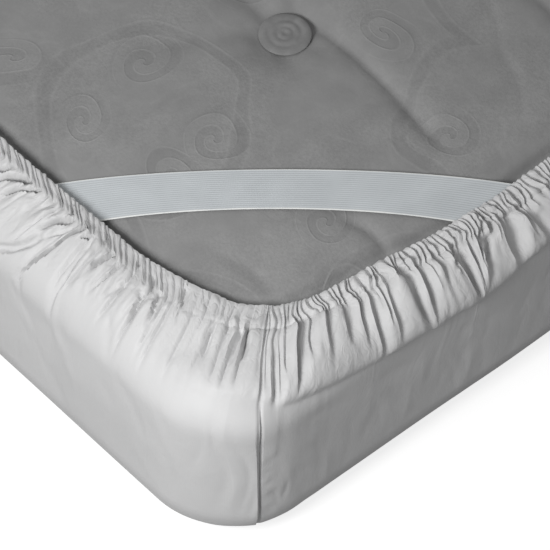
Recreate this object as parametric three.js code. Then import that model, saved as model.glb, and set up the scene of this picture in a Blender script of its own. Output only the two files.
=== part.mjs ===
// A fitted sheet drawn over a single mattress that lies with its underside up.
// The sheet is one cloth: a flat panel on the floor, four walls, and a hem that elastic draws in over
// the mattress's rounded shoulder in pleats. A woven elastic strap crosses the underside at each corner.
// Millimetres, +Z up, origin at the middle of the floor face, length along X.
import * as THREE from "three";

const mattress = {
  length: 2000,
  width: 900,
  cornerRadius: 90, // of the walls, seen from above
  footRadius: 38, // where the walls turn onto the floor face
  shoulderIn: 45, // how far the rounded shoulder reaches in from the wall
  shoulderDrop: 33, // how far it falls
  shoulderTop: 190, // height of the shoulder before the crown is added
  crown: 28, // how much higher the padded middle stands
  crownReach: 90, // distance over which the crown rises
};

// The buttons that tuft the mattress, and the hollows and troughs that they pull into it.
const tuft = {
  firstFromShortWall: 354,
  fromLongWall: 317,
  columns: 6,
  buttonRadius: 25,
  buttonHeight: 6.5,
  buttonSides: 16,
  seatGap: 0.3,
  hollowFloor: 27, // half the width of a hollow's flat floor
  hollowReach: 54, // half its width at the top
  hollowDepth: 12,
  troughDepth: 3,
};
// A button's section, as shares of its radius and height.
const buttonProfile = [
  { out: 0, up: 0 },
  { out: 0.92, up: 0 },
  { out: 1, up: 0.38 },
  { out: 0.72, up: 0.85 },
  { out: 0, up: 1 },
];

const cloth = {
  thickness: 1.5,
  floorGap: 0.3, // to the mattress's floor face
  wallGap: 2, // to its walls and shoulder
  casingGap: 3.4, // under the gathered hem, where the straps pass
  hemInShortSide: 81, // from the wall to the hem's edge
  hemInLongSide: 50,
  hemCornerRadius: 150,
  casingWidth: 24,
  seamFromCornerMiddle: 24, // along the wall, towards the long side
  seamHalfWidth: 4,
  seamDepth: 1.2,
};

// How far a pleat's foot on the wall lies beyond its head on the hem, and how soon the lean fades.
const lean = { shortSideFade: 50, longSideFade: 205 };

// The rows of the pleated band, from the wall to the hem's edge. at is the place along the way up: mm
// from the shoulder's foot, or a share of the way from the shoulder to the stitching, or mm from the edge.
// puff is the share in which the pleats' feet stand out there.
const pleatRows = [
  { from: "foot", at: -12, height: 0, gap: cloth.wallGap, puff: 0.1, inner: false },
  { from: "foot", at: 6, height: 0.8, gap: cloth.wallGap, puff: 1, inner: true },
  { from: "foot", at: 24, height: 5.4, gap: 2.6, puff: 0.4, inner: true },
  { from: "foot", at: 45, height: 8, gap: 2.8, puff: 0, inner: true },
  { from: "middle", at: 0.5, height: 7.6, gap: 2.8, puff: 0, inner: true },
  { from: "edge", at: cloth.casingWidth, height: 3, gap: cloth.casingGap, puff: 0, inner: true },
  { from: "edge", at: 12, height: 5, gap: cloth.casingGap, puff: 0, inner: false },
  { from: "edge", at: 0, height: 2.6, gap: cloth.casingGap, puff: 0, inner: true },
];
const shoulderRow = 3;
const pleats = {
  columns: 352, // two to a pleat
  jitter: 0.3, // of a column's pitch
  crestLeast: 0.36, // shares of a row's height
  crestOwn: 0.44,
  crestSlow: 0.2,
  slowTurn: 0.21, // radians to a column
  slowSway: 1.7,
  slowSwayTurn: 0.047,
  valleyMost: 0.1,
  shortSideHeight: 0.66, // the short sides are drawn tighter
  ridgePuff: 3, // how far the pleats' feet stand out on the long sides
  ridgePuffLeast: 0.8, // share of it
};
const waySteps = 60; // along one pleat

const smoothDrop = 55; // below the shoulder's foot, where the cloth lies smooth
const footAngles = [90, 60, 30, 0];

const strap = {
  width: 45,
  thickness: 1,
  lift: 0.85, // over the mattress
  shortSideCross: 286, // where its middle crosses the short side's hem, from the long wall
  longSideCross: 355, // where it crosses the long side's hem, from the short wall
  underShortHem: 18, // how far its ends run under the hem
  underLongHem: 16,
  bow: 8, // of its middle, away from the corner
  steps: 16,
  lanes: 3,
};

const wallColumns = { cornerHalf: 4, shortHalf: 4, longHalf: 9 };
const shoulderAngles = [0, 30, 60, 90];
const topGrid = { edgeInset: 78, crossLines: [130, 215] }; // all in from the walls

const sheetColour = 0xc9cacb;
const tickingColour = 0x8b8b8b;
const strapColour = 0xcfd6d9;
const buttonColour = 0x868686;

const floorOfMattress = cloth.thickness + cloth.floorGap;
const halfLength = mattress.length / 2;
const halfWidth = mattress.width / 2;
const degree = Math.PI / 180;

// The four corners in turn, counter-clockwise from above, as the signs of x and y.
const corners = [
  { x: -1, y: -1 },
  { x: 1, y: -1 },
  { x: 1, y: 1 },
  { x: -1, y: 1 },
];

const halfSidesAround = 2 * corners.length;

// A repeatable number from 0 to 1 for each whole number.
function scatter(n) {
  const v = Math.sin(n * 12.9898 + 4.1) * 43758.5453;
  return v - Math.floor(v);
}

// Corner places are (u, v): the distances in from the short wall and from the long wall.
function toPart(corner, p) {
  return new THREE.Vector3(corner.x * (halfLength - p.u), corner.y * (halfWidth - p.v), p.z);
}

// A place on a rounded rectangle's outline, s from the middle of its corner along one side.
function outline(insetU, insetV, radius, side, s) {
  const arc = (radius * Math.PI) / 4;
  const turn = Math.min(s, arc) / radius;
  const angle = (225 * degree) + (side === "long" ? turn : -turn);
  const past = Math.max(s - arc, 0);
  return {
    u: insetU + radius + radius * Math.cos(angle) + (side === "long" ? past : 0),
    v: insetV + radius + radius * Math.sin(angle) + (side === "short" ? past : 0),
  };
}

function halfSide(insetU, insetV, radius, side) {
  const straight = side === "long" ? halfLength - insetU - radius : halfWidth - insetV - radius;
  return (radius * Math.PI) / 4 + straight;
}

// Distance in from the rounded wall, and the direction out of it.
function wallDistance(u, v) {
  const r = mattress.cornerRadius;
  if (u < r && v < r) {
    const off = Math.hypot(r - u, r - v);
    return { d: r - off, outU: (u - r) / off, outV: (v - r) / off };
  }
  return u < v ? { d: u, outU: -1, outV: 0 } : { d: v, outU: 0, outV: -1 };
}

// The mattress's upper surface over (u, v), moved out along its normal by lift.
function upperSurface(u, v, lift) {
  const { d, outU, outV } = wallDistance(u, v);
  const a = mattress.shoulderIn;
  const b = mattress.shoulderDrop;
  const cos = Math.min(1, Math.max(0, 1 - d / a));
  const sin = Math.sqrt(1 - cos * cos);
  const riseU = 1 - Math.exp(-u / mattress.crownReach);
  const riseV = 1 - Math.exp(-v / mattress.crownReach);
  const slope = mattress.crown / mattress.crownReach;
  const normal = new THREE.Vector3(
    outU * (b / a) * cos - sin * slope * (1 - riseU) * riseV,
    outV * (b / a) * cos - sin * slope * (1 - riseV) * riseU,
    sin,
  ).normalize();
  return {
    u: u + normal.x * lift,
    v: v + normal.y * lift,
    z: mattress.shoulderTop - b + b * sin + mattress.crown * riseU * riseV + normal.z * lift,
  };
}

// The mattress's foot: its curve from the floor face (0 degrees) up to the wall (90 degrees).
function footPoint(corner, side, s, angle, lift) {
  const radius = mattress.footRadius;
  const inset = radius * (1 - Math.sin(angle * degree)) - lift * Math.sin(angle * degree);
  const z = floorOfMattress + radius - (radius + lift) * Math.cos(angle * degree);
  return wallPoint(corner, side, s, inset, z);
}

// A place at that height on the wall, moved in by inset.
function wallPoint(corner, side, s, inset, z) {
  const at = outline(0, 0, mattress.cornerRadius, side, s);
  const { outU, outV } = wallDistance(at.u, at.v);
  return toPart(corner, { u: at.u - outU * inset, v: at.v - outV * inset, z });
}

const sides = {
  short: { reach: lean.shortSideFade },
  long: { reach: lean.longSideFade },
};
for (const side of Object.keys(sides)) {
  const own = sides[side];
  own.hemHalf = halfSide(cloth.hemInShortSide, cloth.hemInLongSide, cloth.hemCornerRadius, side);
  own.wallHalf = halfSide(0, 0, mattress.cornerRadius, side);
}

// Where on the wall the pleat stands whose head is at hemS on the hem, both from the corner's middle.
function wallPlace(side, hemS) {
  const { hemHalf, wallHalf, reach } = sides[side];
  const share = (1 - Math.exp(-hemS / reach)) / (1 - Math.exp(-hemHalf / reach));
  return hemS + (wallHalf - hemHalf) * share;
}

// Walks the eight half sides in turn, giving each its corner, its side and whether it runs inwards.
function halfSidesInTurn() {
  const turns = [];
  corners.forEach((corner, i) => {
    const side = i % 2 === 0 ? "long" : "short";
    turns.push({ corner, side, away: true });
    turns.push({ corner: corners[(i + 1) % 4], side, away: false });
  });
  return turns;
}

// The place on the hem whose measure comes to wanted; measure grows along the hem.
function hemPlaceWhere(side, wanted, measure) {
  let low = 0;
  let high = sides[side].hemHalf;
  for (let step = 0; step < 30; step++) {
    const mid = (low + high) / 2;
    if (measure(mid) < wanted) low = mid;
    else high = mid;
  }
  return (low + high) / 2;
}

// The pleats' columns: for each, its place on the hem and on the wall, evenly spread between the two.
function pleatColumns() {
  const turns = halfSidesInTurn();
  const lengths = turns.map(({ side }) => (sides[side].hemHalf + sides[side].wallHalf) / 2);
  const around = lengths.reduce((a, b) => a + b, 0);
  const columns = [];
  for (let index = 0; index < pleats.columns; index++) {
    let left = ((index + 0.5 + pleats.jitter * (scatter(index) - 0.5)) * around) / pleats.columns;
    let turn = 0;
    while (left > lengths[turn]) left -= lengths[turn++];
    const { corner, side, away } = turns[turn];
    const wanted = away ? left : lengths[turn] - left;
    const hemS = hemPlaceWhere(side, wanted, (s) => (s + wallPlace(side, s)) / 2);
    columns.push({ corner, side, away, turn, hemS, wallS: wallPlace(side, hemS), index, seam: false });
  }
  for (const corner of corners) {
    const off = (column) => Math.abs(column.wallS - cloth.seamFromCornerMiddle);
    const near = columns.filter((column) => column.corner === corner && column.side === "long");
    const seam = near.reduce((best, column) => (off(column) < off(best) ? column : best));
    seam.seam = true;
    seam.wallS = cloth.seamFromCornerMiddle;
    seam.hemS = hemPlaceWhere("long", seam.wallS, (s) => wallPlace("long", s));
  }
  for (const column of columns) {
    column.order = orderOnWall(column.turn, column.side, column.away, column.wallS);
  }
  return columns;
}

// One number that grows all the way round the wall, to line rings up with each other.
function orderOnWall(turn, side, away, wallS) {
  const half = sides[side].wallHalf;
  return turn + (away ? wallS / half : 1 - wallS / half);
}

// The coarser columns of the walls, with three more at each corner's seam.
function wallColumnsInTurn() {
  const columns = [];
  halfSidesInTurn().forEach(({ corner, side, away }, turn) => {
    const half = sides[side].wallHalf;
    const arc = (mattress.cornerRadius * Math.PI) / 4;
    const straight = side === "long" ? wallColumns.longHalf : wallColumns.shortHalf;
    const places = [];
    for (let i = 0; i < wallColumns.cornerHalf; i++) places.push((arc * i) / wallColumns.cornerHalf);
    for (let i = 0; i < straight; i++) places.push(arc + ((half - arc) * i) / straight);
    let marked = places.map((s) => ({ s, groove: 0 }));
    if (side === "long") {
      const middle = cloth.seamFromCornerMiddle;
      const near = (s) => Math.abs(s - middle) < 2 * cloth.seamHalfWidth;
      marked = marked.filter(({ s }) => !near(s));
      marked.push({ s: middle - cloth.seamHalfWidth, groove: 0 });
      marked.push({ s: middle, groove: cloth.seamDepth });
      marked.push({ s: middle + cloth.seamHalfWidth, groove: 0 });
    }
    if (!away) marked = marked.filter(({ s }) => s > 0).concat({ s: half, groove: 0 });
    marked.sort((p, q) => (away ? p.s - q.s : q.s - p.s));
    for (const { s, groove } of marked) {
      columns.push({ corner, side, wallS: s, groove, order: orderOnWall(turn, side, away, s) });
    }
  });
  return columns;
}

// The way up one pleat column, from the shoulder's foot on the wall to the hem's edge.
function wayUp(column) {
  const foot = outline(0, 0, mattress.cornerRadius, column.side, column.wallS);
  const head = outline(
    cloth.hemInShortSide, cloth.hemInLongSide, cloth.hemCornerRadius, column.side, column.hemS);
  const marks = [];
  let length = 0;
  let last = null;
  for (let i = 0; i <= waySteps; i++) {
    const share = (i / waySteps) ** 2;
    const u = foot.u + (head.u - foot.u) * share;
    const v = foot.v + (head.v - foot.v) * share;
    const p = upperSurface(u, v, 0);
    if (last) length += Math.hypot(p.u - last.u, p.v - last.v, p.z - last.z);
    marks.push({ u, v, length });
    last = p;
  }
  return marks;
}

function placeOnWay(marks, length) {
  let i = 1;
  while (i < marks.length - 1 && marks[i].length < length) i++;
  const a = marks[i - 1];
  const b = marks[i];
  const t = (length - a.length) / (b.length - a.length);
  return { u: a.u + (b.u - a.u) * t, v: a.v + (b.v - a.v) * t };
}

function rowLength(row, whole) {
  if (row.from === "foot") return row.at;
  if (row.from === "edge") return whole - row.at;
  const shoulder = pleatRows[shoulderRow].at;
  return shoulder + (whole - cloth.casingWidth - shoulder) * row.at;
}

// How high the cloth stands in that column: pleats rise and fall by turns, each by its own amount.
function pleatShare(column) {
  const crest = column.index % 2 === 0;
  const own = scatter(Math.floor(column.index / 2) * 7 + 3);
  const sway = pleats.slowSway * Math.sin(column.index * pleats.slowSwayTurn);
  const slow = 0.5 + 0.5 * Math.sin(column.index * pleats.slowTurn + sway);
  const crestShare = pleats.crestLeast + pleats.crestOwn * own + pleats.crestSlow * slow;
  const tight = column.side === "short" ? pleats.shortSideHeight : 1;
  return column.seam ? 0 : (crest ? crestShare : pleats.valleyMost * own) * tight;
}

// On the long sides the pleats' feet stand out over the wall; the short sides are smooth there.
function standOut(column) {
  if (column.side === "short") return 0;
  const cornerShare = Math.min(1, column.wallS / (2 * mattress.cornerRadius));
  const own = scatter(Math.floor(column.index / 2) * 5 + 1);
  const least = pleats.ridgePuffLeast;
  return pleats.ridgePuff * cornerShare * (least + (1 - least) * own);
}

const footOfShoulder = mattress.shoulderTop - mattress.shoulderDrop;

function pleatRing(columns, row, lift) {
  return columns.map((column) => {
    const sunk = column.seam && lift && row.from !== "edge" ? cloth.seamDepth : 0;
    const raised = row.height * pleatShare(column) + row.puff * standOut(column);
    const out = row.gap + lift + raised - sunk;
    if (row.from === "foot" && row.at < 0) {
      const z = footOfShoulder + row.at;
      return { order: column.order, at: wallPoint(column.corner, column.side, column.wallS, -out, z) };
    }
    const marks = wayUp(column);
    const at = placeOnWay(marks, rowLength(row, marks[marks.length - 1].length));
    return { order: column.order, at: toPart(column.corner, upperSurface(at.u, at.v, out)) };
  });
}

// The cloth over the wall, that far below the shoulder's foot.
function wallRing(columns, drop, lift) {
  return columns.map((column) => {
    const out = cloth.wallGap + lift - (lift ? column.groove : 0);
    const at = wallPoint(column.corner, column.side, column.wallS, -out, footOfShoulder - drop);
    return { order: column.order, at };
  });
}

function footRing(columns, angle, lift) {
  const gap = cloth.floorGap + (cloth.wallGap - cloth.floorGap) * Math.sin(angle * degree);
  return columns.map((column) => {
    const groove = lift ? column.groove * Math.sin(angle * degree) : 0;
    const at = footPoint(column.corner, column.side, column.wallS, angle, gap + lift - groove);
    return { order: column.order, at };
  });
}

// A closed skin, made ring by ring from outside in; each ring may have its own number of points.
class Skin {
  positions = [];
  faces = [];

  point(at) {
    this.positions.push(at.x, at.y, at.z);
    return this.positions.length / 3 - 1;
  }

  ring(points) {
    return points.map(({ order, at }) => ({ order, index: this.point(at) }));
  }

  // Joins two rings; where their points are level, the first triangle stands on a, or on b if onB is true.
  bridge(a, b, onB) {
    const orderOf = (ring, i) => ring[i % ring.length].order + (i >= ring.length ? halfSidesAround : 0);
    let i = 0;
    let j = 0;
    while (i < a.length || j < b.length) {
      const nextA = i < a.length ? orderOf(a, i + 1) : Infinity;
      const nextB = j < b.length ? orderOf(b, j + 1) : Infinity;
      const atA = a[i % a.length].index;
      const atB = b[j % b.length].index;
      if (onB ? nextA < nextB : nextA <= nextB) {
        this.faces.push(atA, a[(i + 1) % a.length].index, atB);
        i++;
      } else {
        this.faces.push(atA, b[(j + 1) % b.length].index, atB);
        j++;
      }
    }
  }

  // Joins rings in turn; the last ones, which run back inside the first, get the same diagonals.
  bridgeAll(rings, inside = 0) {
    const made = rings.map((points) => this.ring(points));
    for (let k = 1; k < made.length; k++) {
      this.bridge(made[k - 1], made[k], k > made.length - inside);
    }
    return made;
  }

  cap(ring, middle, down) {
    const centre = this.point(middle);
    ring.forEach(({ index }, i) => {
      const next = ring[(i + 1) % ring.length].index;
      this.faces.push(centre, down ? next : index, down ? index : next);
    });
  }

  geometry() {
    const geometry = new THREE.BufferGeometry();
    geometry.setAttribute("position", new THREE.Float32BufferAttribute(this.positions, 3));
    geometry.setIndex(this.faces);
    geometry.computeVertexNormals();
    return geometry;
  }
}

function sheetGeometry() {
  const fine = pleatColumns();
  const coarse = wallColumnsInTurn();
  const t = cloth.thickness;
  const outer = [
    ...footAngles.slice().reverse().map((angle) => footRing(coarse, angle, t)),
    wallRing(coarse, smoothDrop, t),
    ...pleatRows.map((row) => pleatRing(fine, row, t)),
  ];
  const inner = [
    ...pleatRows.filter((row) => row.inner).reverse().map((row) => pleatRing(fine, row, 0)),
    wallRing(coarse, -pleatRows[0].at, 0),
    ...footAngles.map((angle) => footRing(coarse, angle, 0)),
  ];
  const skin = new Skin();
  const made = skin.bridgeAll([...outer, ...inner], inner.length);
  skin.cap(made[0], new THREE.Vector3(0, 0, 0), true);
  skin.cap(made[made.length - 1], new THREE.Vector3(0, 0, t), false);
  return skin.geometry();
}

const buttonPitch = (mattress.length - 2 * tuft.firstFromShortWall) / (tuft.columns - 1);
const buttonColumns = Array.from({ length: tuft.columns }, (_, i) =>
  tuft.firstFromShortWall - halfLength + i * buttonPitch);
const buttonRows = [-1, 1].map((side) => side * (halfWidth - tuft.fromLongWall));

// How far the mattress's top is drawn down: hollows at the buttons, joined by troughs across the width.
function tuftDip(x, y) {
  const span = tuft.hollowReach - tuft.hollowFloor;
  const share = (off) => Math.min(1, Math.max(0, (tuft.hollowReach - Math.abs(off)) / span));
  const acrossLength = Math.max(...buttonColumns.map((at) => share(x - at)));
  const acrossWidth = Math.max(...buttonRows.map((at) => share(y - at)));
  const hollow = (tuft.hollowDepth - tuft.troughDepth) * acrossLength * acrossWidth;
  return hollow + tuft.troughDepth * acrossLength;
}

function topHeight(x, y) {
  return upperSurface(halfLength - Math.abs(x), halfWidth - Math.abs(y), 0).z;
}

// Within a hollow the floor is level, at its depth under the crown over the button.
function tuftedHeight(x, y) {
  const near = (places, at) => places.find((place) => Math.abs(at - place) <= tuft.hollowFloor + 1);
  const column = near(buttonColumns, x);
  const row = near(buttonRows, y);
  if (column !== undefined && row !== undefined) return topHeight(column, row) - tuft.hollowDepth;
  return topHeight(x, y) - tuftDip(x, y);
}

// The grid of the mattress's top, with its lines at the hollows' edges.
function topLines(half, middles, between) {
  const edge = half - topGrid.edgeInset;
  const cross = topGrid.crossLines.flatMap((inset) => [inset - half, half - inset]);
  const lines = [-edge, edge, ...cross, ...between];
  for (const middle of middles) {
    for (const off of [tuft.hollowFloor, tuft.hollowReach]) lines.push(middle - off, middle + off);
  }
  return lines.sort((p, q) => p - q);
}

function mattressGeometry() {
  const columns = wallColumnsInTurn();
  const rings = footAngles.slice().reverse().map((angle) =>
    columns.map((column) => ({
      order: column.order,
      at: footPoint(column.corner, column.side, column.wallS, angle, 0),
    })));
  for (const angle of shoulderAngles) {
    rings.push(upperRing(columns, mattress.shoulderIn * (1 - Math.cos(angle * degree))));
  }
  const skin = new Skin();
  const made = skin.bridgeAll(rings);
  skin.cap(made[0], new THREE.Vector3(0, 0, floorOfMattress), true);

  const betweenColumns = buttonColumns.slice(1).map((at) => at - buttonPitch / 2);
  const xs = topLines(halfLength, buttonColumns, betweenColumns);
  const ys = topLines(halfWidth, buttonRows, [0]);
  const grid = xs.map((x) => ys.map((y) => skin.point({ x, y, z: tuftedHeight(x, y) })));
  for (let i = 1; i < xs.length; i++) {
    for (let j = 1; j < ys.length; j++) {
      const [a, b, c, d] = [grid[i - 1][j - 1], grid[i][j - 1], grid[i][j], grid[i - 1][j]];
      skin.faces.push(a, b, c, a, c, d);
    }
  }
  skin.bridge(made[made.length - 1], gridEdge(grid, xs, ys), false);
  return skin.geometry();
}

// The grid's edge as a ring, in the order in which the wall's columns go round.
function gridEdge(grid, xs, ys) {
  const lastX = xs.length - 1;
  const lastY = ys.length - 1;
  const shareX = (i) => (2 * (xs[i] - xs[0])) / (xs[lastX] - xs[0]);
  const shareY = (j) => (2 * (ys[j] - ys[0])) / (ys[lastY] - ys[0]);
  const ring = [];
  for (let i = 0; i < lastX; i++) ring.push({ order: shareX(i), index: grid[i][0] });
  for (let j = 0; j < lastY; j++) ring.push({ order: 2 + shareY(j), index: grid[lastX][j] });
  for (let i = lastX; i > 0; i--) ring.push({ order: 6 - shareX(i), index: grid[i][lastY] });
  for (let j = lastY; j > 0; j--) ring.push({ order: 8 - shareY(j), index: grid[0][j] });
  return ring;
}

// A ring of the mattress's shoulder, that far in from the wall.
function upperRing(columns, inset) {
  const radius = mattress.cornerRadius - inset;
  return columns.map((column) => {
    const half = halfSide(inset, inset, radius, column.side);
    const arc = (mattress.cornerRadius * Math.PI) / 4;
    const ownArc = (radius * Math.PI) / 4;
    const onArc = column.wallS <= arc;
    const s = onArc
      ? (column.wallS * ownArc) / arc
      : ownArc + ((column.wallS - arc) * (half - ownArc)) / (sides[column.side].wallHalf - arc);
    const at = outline(inset, inset, radius, column.side, s);
    return { order: column.order, at: toPart(column.corner, upperSurface(at.u, at.v, 0)) };
  });
}

function buttonGeometry(x, y) {
  const profile = buttonProfile.map(({ out, up }) =>
    new THREE.Vector2(out * tuft.buttonRadius, up * tuft.buttonHeight));
  const geometry = new THREE.LatheGeometry(profile, tuft.buttonSides);
  geometry.rotateX(Math.PI / 2);
  geometry.translate(x, y, tuftedHeight(x, y) + tuft.seatGap);
  return geometry;
}

// A strap: a thin band laid over the crown from hem to hem, its ends cut along the hems.
function strapGeometry(corner) {
  const from = new THREE.Vector2(cloth.hemInShortSide, strap.shortSideCross);
  const to = new THREE.Vector2(strap.longSideCross, cloth.hemInLongSide);
  const along = to.clone().sub(from).normalize();
  const across = new THREE.Vector2(-along.y, along.x);
  const startU = cloth.hemInShortSide - strap.underShortHem;
  const endV = cloth.hemInLongSide - strap.underLongHem;
  const positions = [];
  const layer = (strap.steps + 1) * (strap.lanes + 1);
  for (const lift of [strap.lift + strap.thickness, strap.lift]) {
    for (let i = 0; i <= strap.steps; i++) {
      for (let j = 0; j <= strap.lanes; j++) {
        const w = strap.width * (j / strap.lanes - 0.5);
        const start = (startU - from.x - w * across.x) / along.x;
        const end = (endV - from.y - w * across.y) / along.y;
        const share = i / strap.steps;
        const reach = start + (end - start) * share;
        const side = w + strap.bow * 4 * share * (1 - share);
        const u = from.x + along.x * reach + across.x * side;
        const v = from.y + along.y * reach + across.y * side;
        const p = toPart(corner, upperSurface(u, v, lift));
        positions.push(p.x, p.y, p.z);
      }
    }
  }
  const faces = [];
  const quad = (a, b, c, d) => faces.push(a, b, c, a, c, d);
  const at = (i, j, under) => i * (strap.lanes + 1) + j + (under ? layer : 0);
  for (let i = 0; i < strap.steps; i++) {
    for (let j = 0; j < strap.lanes; j++) {
      quad(at(i, j), at(i + 1, j), at(i + 1, j + 1), at(i, j + 1));
      quad(at(i, j, true), at(i, j + 1, true), at(i + 1, j + 1, true), at(i + 1, j, true));
    }
    quad(at(i, 0), at(i, 0, true), at(i + 1, 0, true), at(i + 1, 0));
    const edge = strap.lanes;
    quad(at(i, edge), at(i + 1, edge), at(i + 1, edge, true), at(i, edge, true));
  }
  for (let j = 0; j < strap.lanes; j++) {
    quad(at(0, j), at(0, j + 1), at(0, j + 1, true), at(0, j, true));
    const end = strap.steps;
    quad(at(end, j), at(end, j, true), at(end, j + 1, true), at(end, j + 1));
  }
  if (corner.x * corner.y < 0) faces.reverse();
  const geometry = new THREE.BufferGeometry();
  geometry.setAttribute("position", new THREE.Float32BufferAttribute(positions, 3));
  geometry.setIndex(faces);
  geometry.computeVertexNormals();
  return geometry;
}

function piece(name, geometry, colour, roughness) {
  const material = new THREE.MeshStandardMaterial({ color: colour, roughness, metalness: 0 });
  const mesh = new THREE.Mesh(geometry, material);
  mesh.name = name;
  return mesh;
}

const part = new THREE.Group();
part.add(piece("mattress", mattressGeometry(), tickingColour, 0.85));
part.add(piece("fitted_sheet", sheetGeometry(), sheetColour, 0.6));
corners.forEach((corner, i) => {
  part.add(piece(`corner_strap_${i + 1}`, strapGeometry(corner), strapColour, 0.5));
});
buttonRows.forEach((y, row) => {
  buttonColumns.forEach((x, column) => {
    const name = `tuft_button_${row * tuft.columns + column + 1}`;
    part.add(piece(name, buttonGeometry(x, y), buttonColour, 0.8));
  });
});

export default part;
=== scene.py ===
import math

import bmesh
import bpy
import numpy as np
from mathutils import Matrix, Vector


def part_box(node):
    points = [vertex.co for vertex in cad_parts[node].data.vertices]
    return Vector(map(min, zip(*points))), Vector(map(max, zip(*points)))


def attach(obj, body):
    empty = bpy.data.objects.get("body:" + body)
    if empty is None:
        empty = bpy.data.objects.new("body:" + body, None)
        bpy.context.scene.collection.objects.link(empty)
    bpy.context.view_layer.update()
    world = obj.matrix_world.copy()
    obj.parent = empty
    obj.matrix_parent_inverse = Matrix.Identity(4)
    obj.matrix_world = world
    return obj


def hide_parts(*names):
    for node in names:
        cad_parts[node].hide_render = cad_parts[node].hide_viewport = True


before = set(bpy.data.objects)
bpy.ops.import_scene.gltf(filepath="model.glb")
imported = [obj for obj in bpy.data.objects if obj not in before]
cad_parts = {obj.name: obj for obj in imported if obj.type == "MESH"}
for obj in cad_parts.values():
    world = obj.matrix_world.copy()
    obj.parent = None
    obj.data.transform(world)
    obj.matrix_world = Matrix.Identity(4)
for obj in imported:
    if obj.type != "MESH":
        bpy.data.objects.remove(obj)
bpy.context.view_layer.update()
print("frame loaded")

mm = 0.001  # every size below is in millimetres, and the meshes are in metres

mattressLow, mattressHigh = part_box("mattress")

# The mattress, lying with its underside up
mattress = {
    "cornerRadius": 90.0,
    "footRadius": 38.0,
    "shoulderIn": 45.0,
    "shoulderDrop": 33.0,
    "shoulderTop": 190.0,
    "crown": 28.0,
    "crownReach": 90.0,
}
halfLength, halfWidth = [(high - low) / 2 / mm for low, high in zip(mattressLow[:2], mattressHigh[:2])]
cornerRadius, footRadius = mattress["cornerRadius"], mattress["footRadius"]
footOfShoulder = mattress["shoulderTop"] - mattress["shoulderDrop"]
topOfFoot = mattressLow[2] / mm + footRadius
wallHeight = footOfShoulder - topOfFoot
footArc = footRadius * math.pi / 2

# The fitted sheet
sheet = {
    "thickness": 1.0,
    "floorGap": 0.8,
    "wallGap": 2.4,
    "casingGapShort": 11.0,
    "casingGapLong": 3.6,
    "hemInShortSide": 76.0,
    "hemInLongSide": 50.0,
    "hemCornerRadius": 150.0,
    "casingWidth": 27.0,  # as the casing's own tables have it, before it is narrowed
    "casingShort": 20.0,
    "casingLong": 24.0,
    "leanFadeShort": 50.0,
    "leanFadeLong": 205.0,
    "seamAt": 24.0,  # from the corner's middle along the wall, towards the long side
    "fineStretch": (-366.0, 480.0),  # round the first corner, with a finer mesh
    "fineStep": 1.5,
    "wideStep": 6.3,
    "slitStretch": (-187.0, -164.0, 0.7),  # where the boldest slit runs, with columns this far apart
    "pleatHeightLong": 10.6,
    "pleatHeightShort": 8.4,
    "leanLong": 0.2,  # how far a fold leans over for each millimetre that it stands up
    "leanShort": -0.1,
    "slantLong": -0.4,  # of the gathers inside the casing, against the pleats' own direction
    "slantShort": 0.85,
    "lowPleats": 0.42,  # how much of their height the pleats lose beside the first corner
    "bellyOut": 4.0,  # the wall's swelling on the long side, its middle along the hem and its reach
    "bellyAt": 262.0,
    "bellyReach": 62.0,
    "seamOutLeft": 5.0,  # how far the corner's seam stands out, from the short side and from the long one
    "seamOutRight": 2.6,
    "seamGroove": 4.2,
    "wrinklesOnPleats": 520,
    "wrinklesOnWalls": 130,
    "sharpFrom": 52.0,  # degrees between two faces from which their edge is a sharp one
    "seed": 7,
}
fineFrom, fineTo = sheet["fineStretch"]
casingWidth, wallGap, floorGap = sheet["casingWidth"], sheet["wallGap"], sheet["floorGap"]


def lerpTable(at, table):
    return np.interp(at, [row[0] for row in table], [row[1] for row in table])


def smoothStep(low, high, value):
    share = np.clip((value - low) / (high - low), 0, 1)
    return share * share * (3 - 2 * share)


def bell(value, middle, width):
    return np.exp(-((value - middle) / width) ** 2)


# Corner places are (u, v), the distances in from the short wall and from the long wall
def outlineAt(inU, inV, radius, isLong, s):
    arc = radius * math.pi / 4
    turn = np.minimum(s, arc) / radius
    angle = math.radians(225) + np.where(isLong, turn, -turn)
    past = np.maximum(s - arc, 0)
    u = inU + radius + radius * np.cos(angle) + np.where(isLong, past, 0)
    v = inV + radius + radius * np.sin(angle) + np.where(isLong, 0, past)
    return u, v


def halfSide(inU, inV, radius, isLong):
    straight = halfLength - inU if isLong else halfWidth - inV
    return radius * math.pi / 4 + straight - radius


# The distance in from a rounded outline, and which way is out
def wallDistance(u, v, radius=cornerRadius):
    inCorner = (u < radius) & (v < radius)
    off = np.maximum(np.hypot(radius - u, radius - v), 1e-6)
    d = np.where(inCorner, radius - off, np.minimum(u, v))
    outU = np.where(inCorner, (u - radius) / off, np.where(u < v, -1.0, 0.0))
    outV = np.where(inCorner, (v - radius) / off, np.where(u < v, 0.0, -1.0))
    return d, outU, outV


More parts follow.
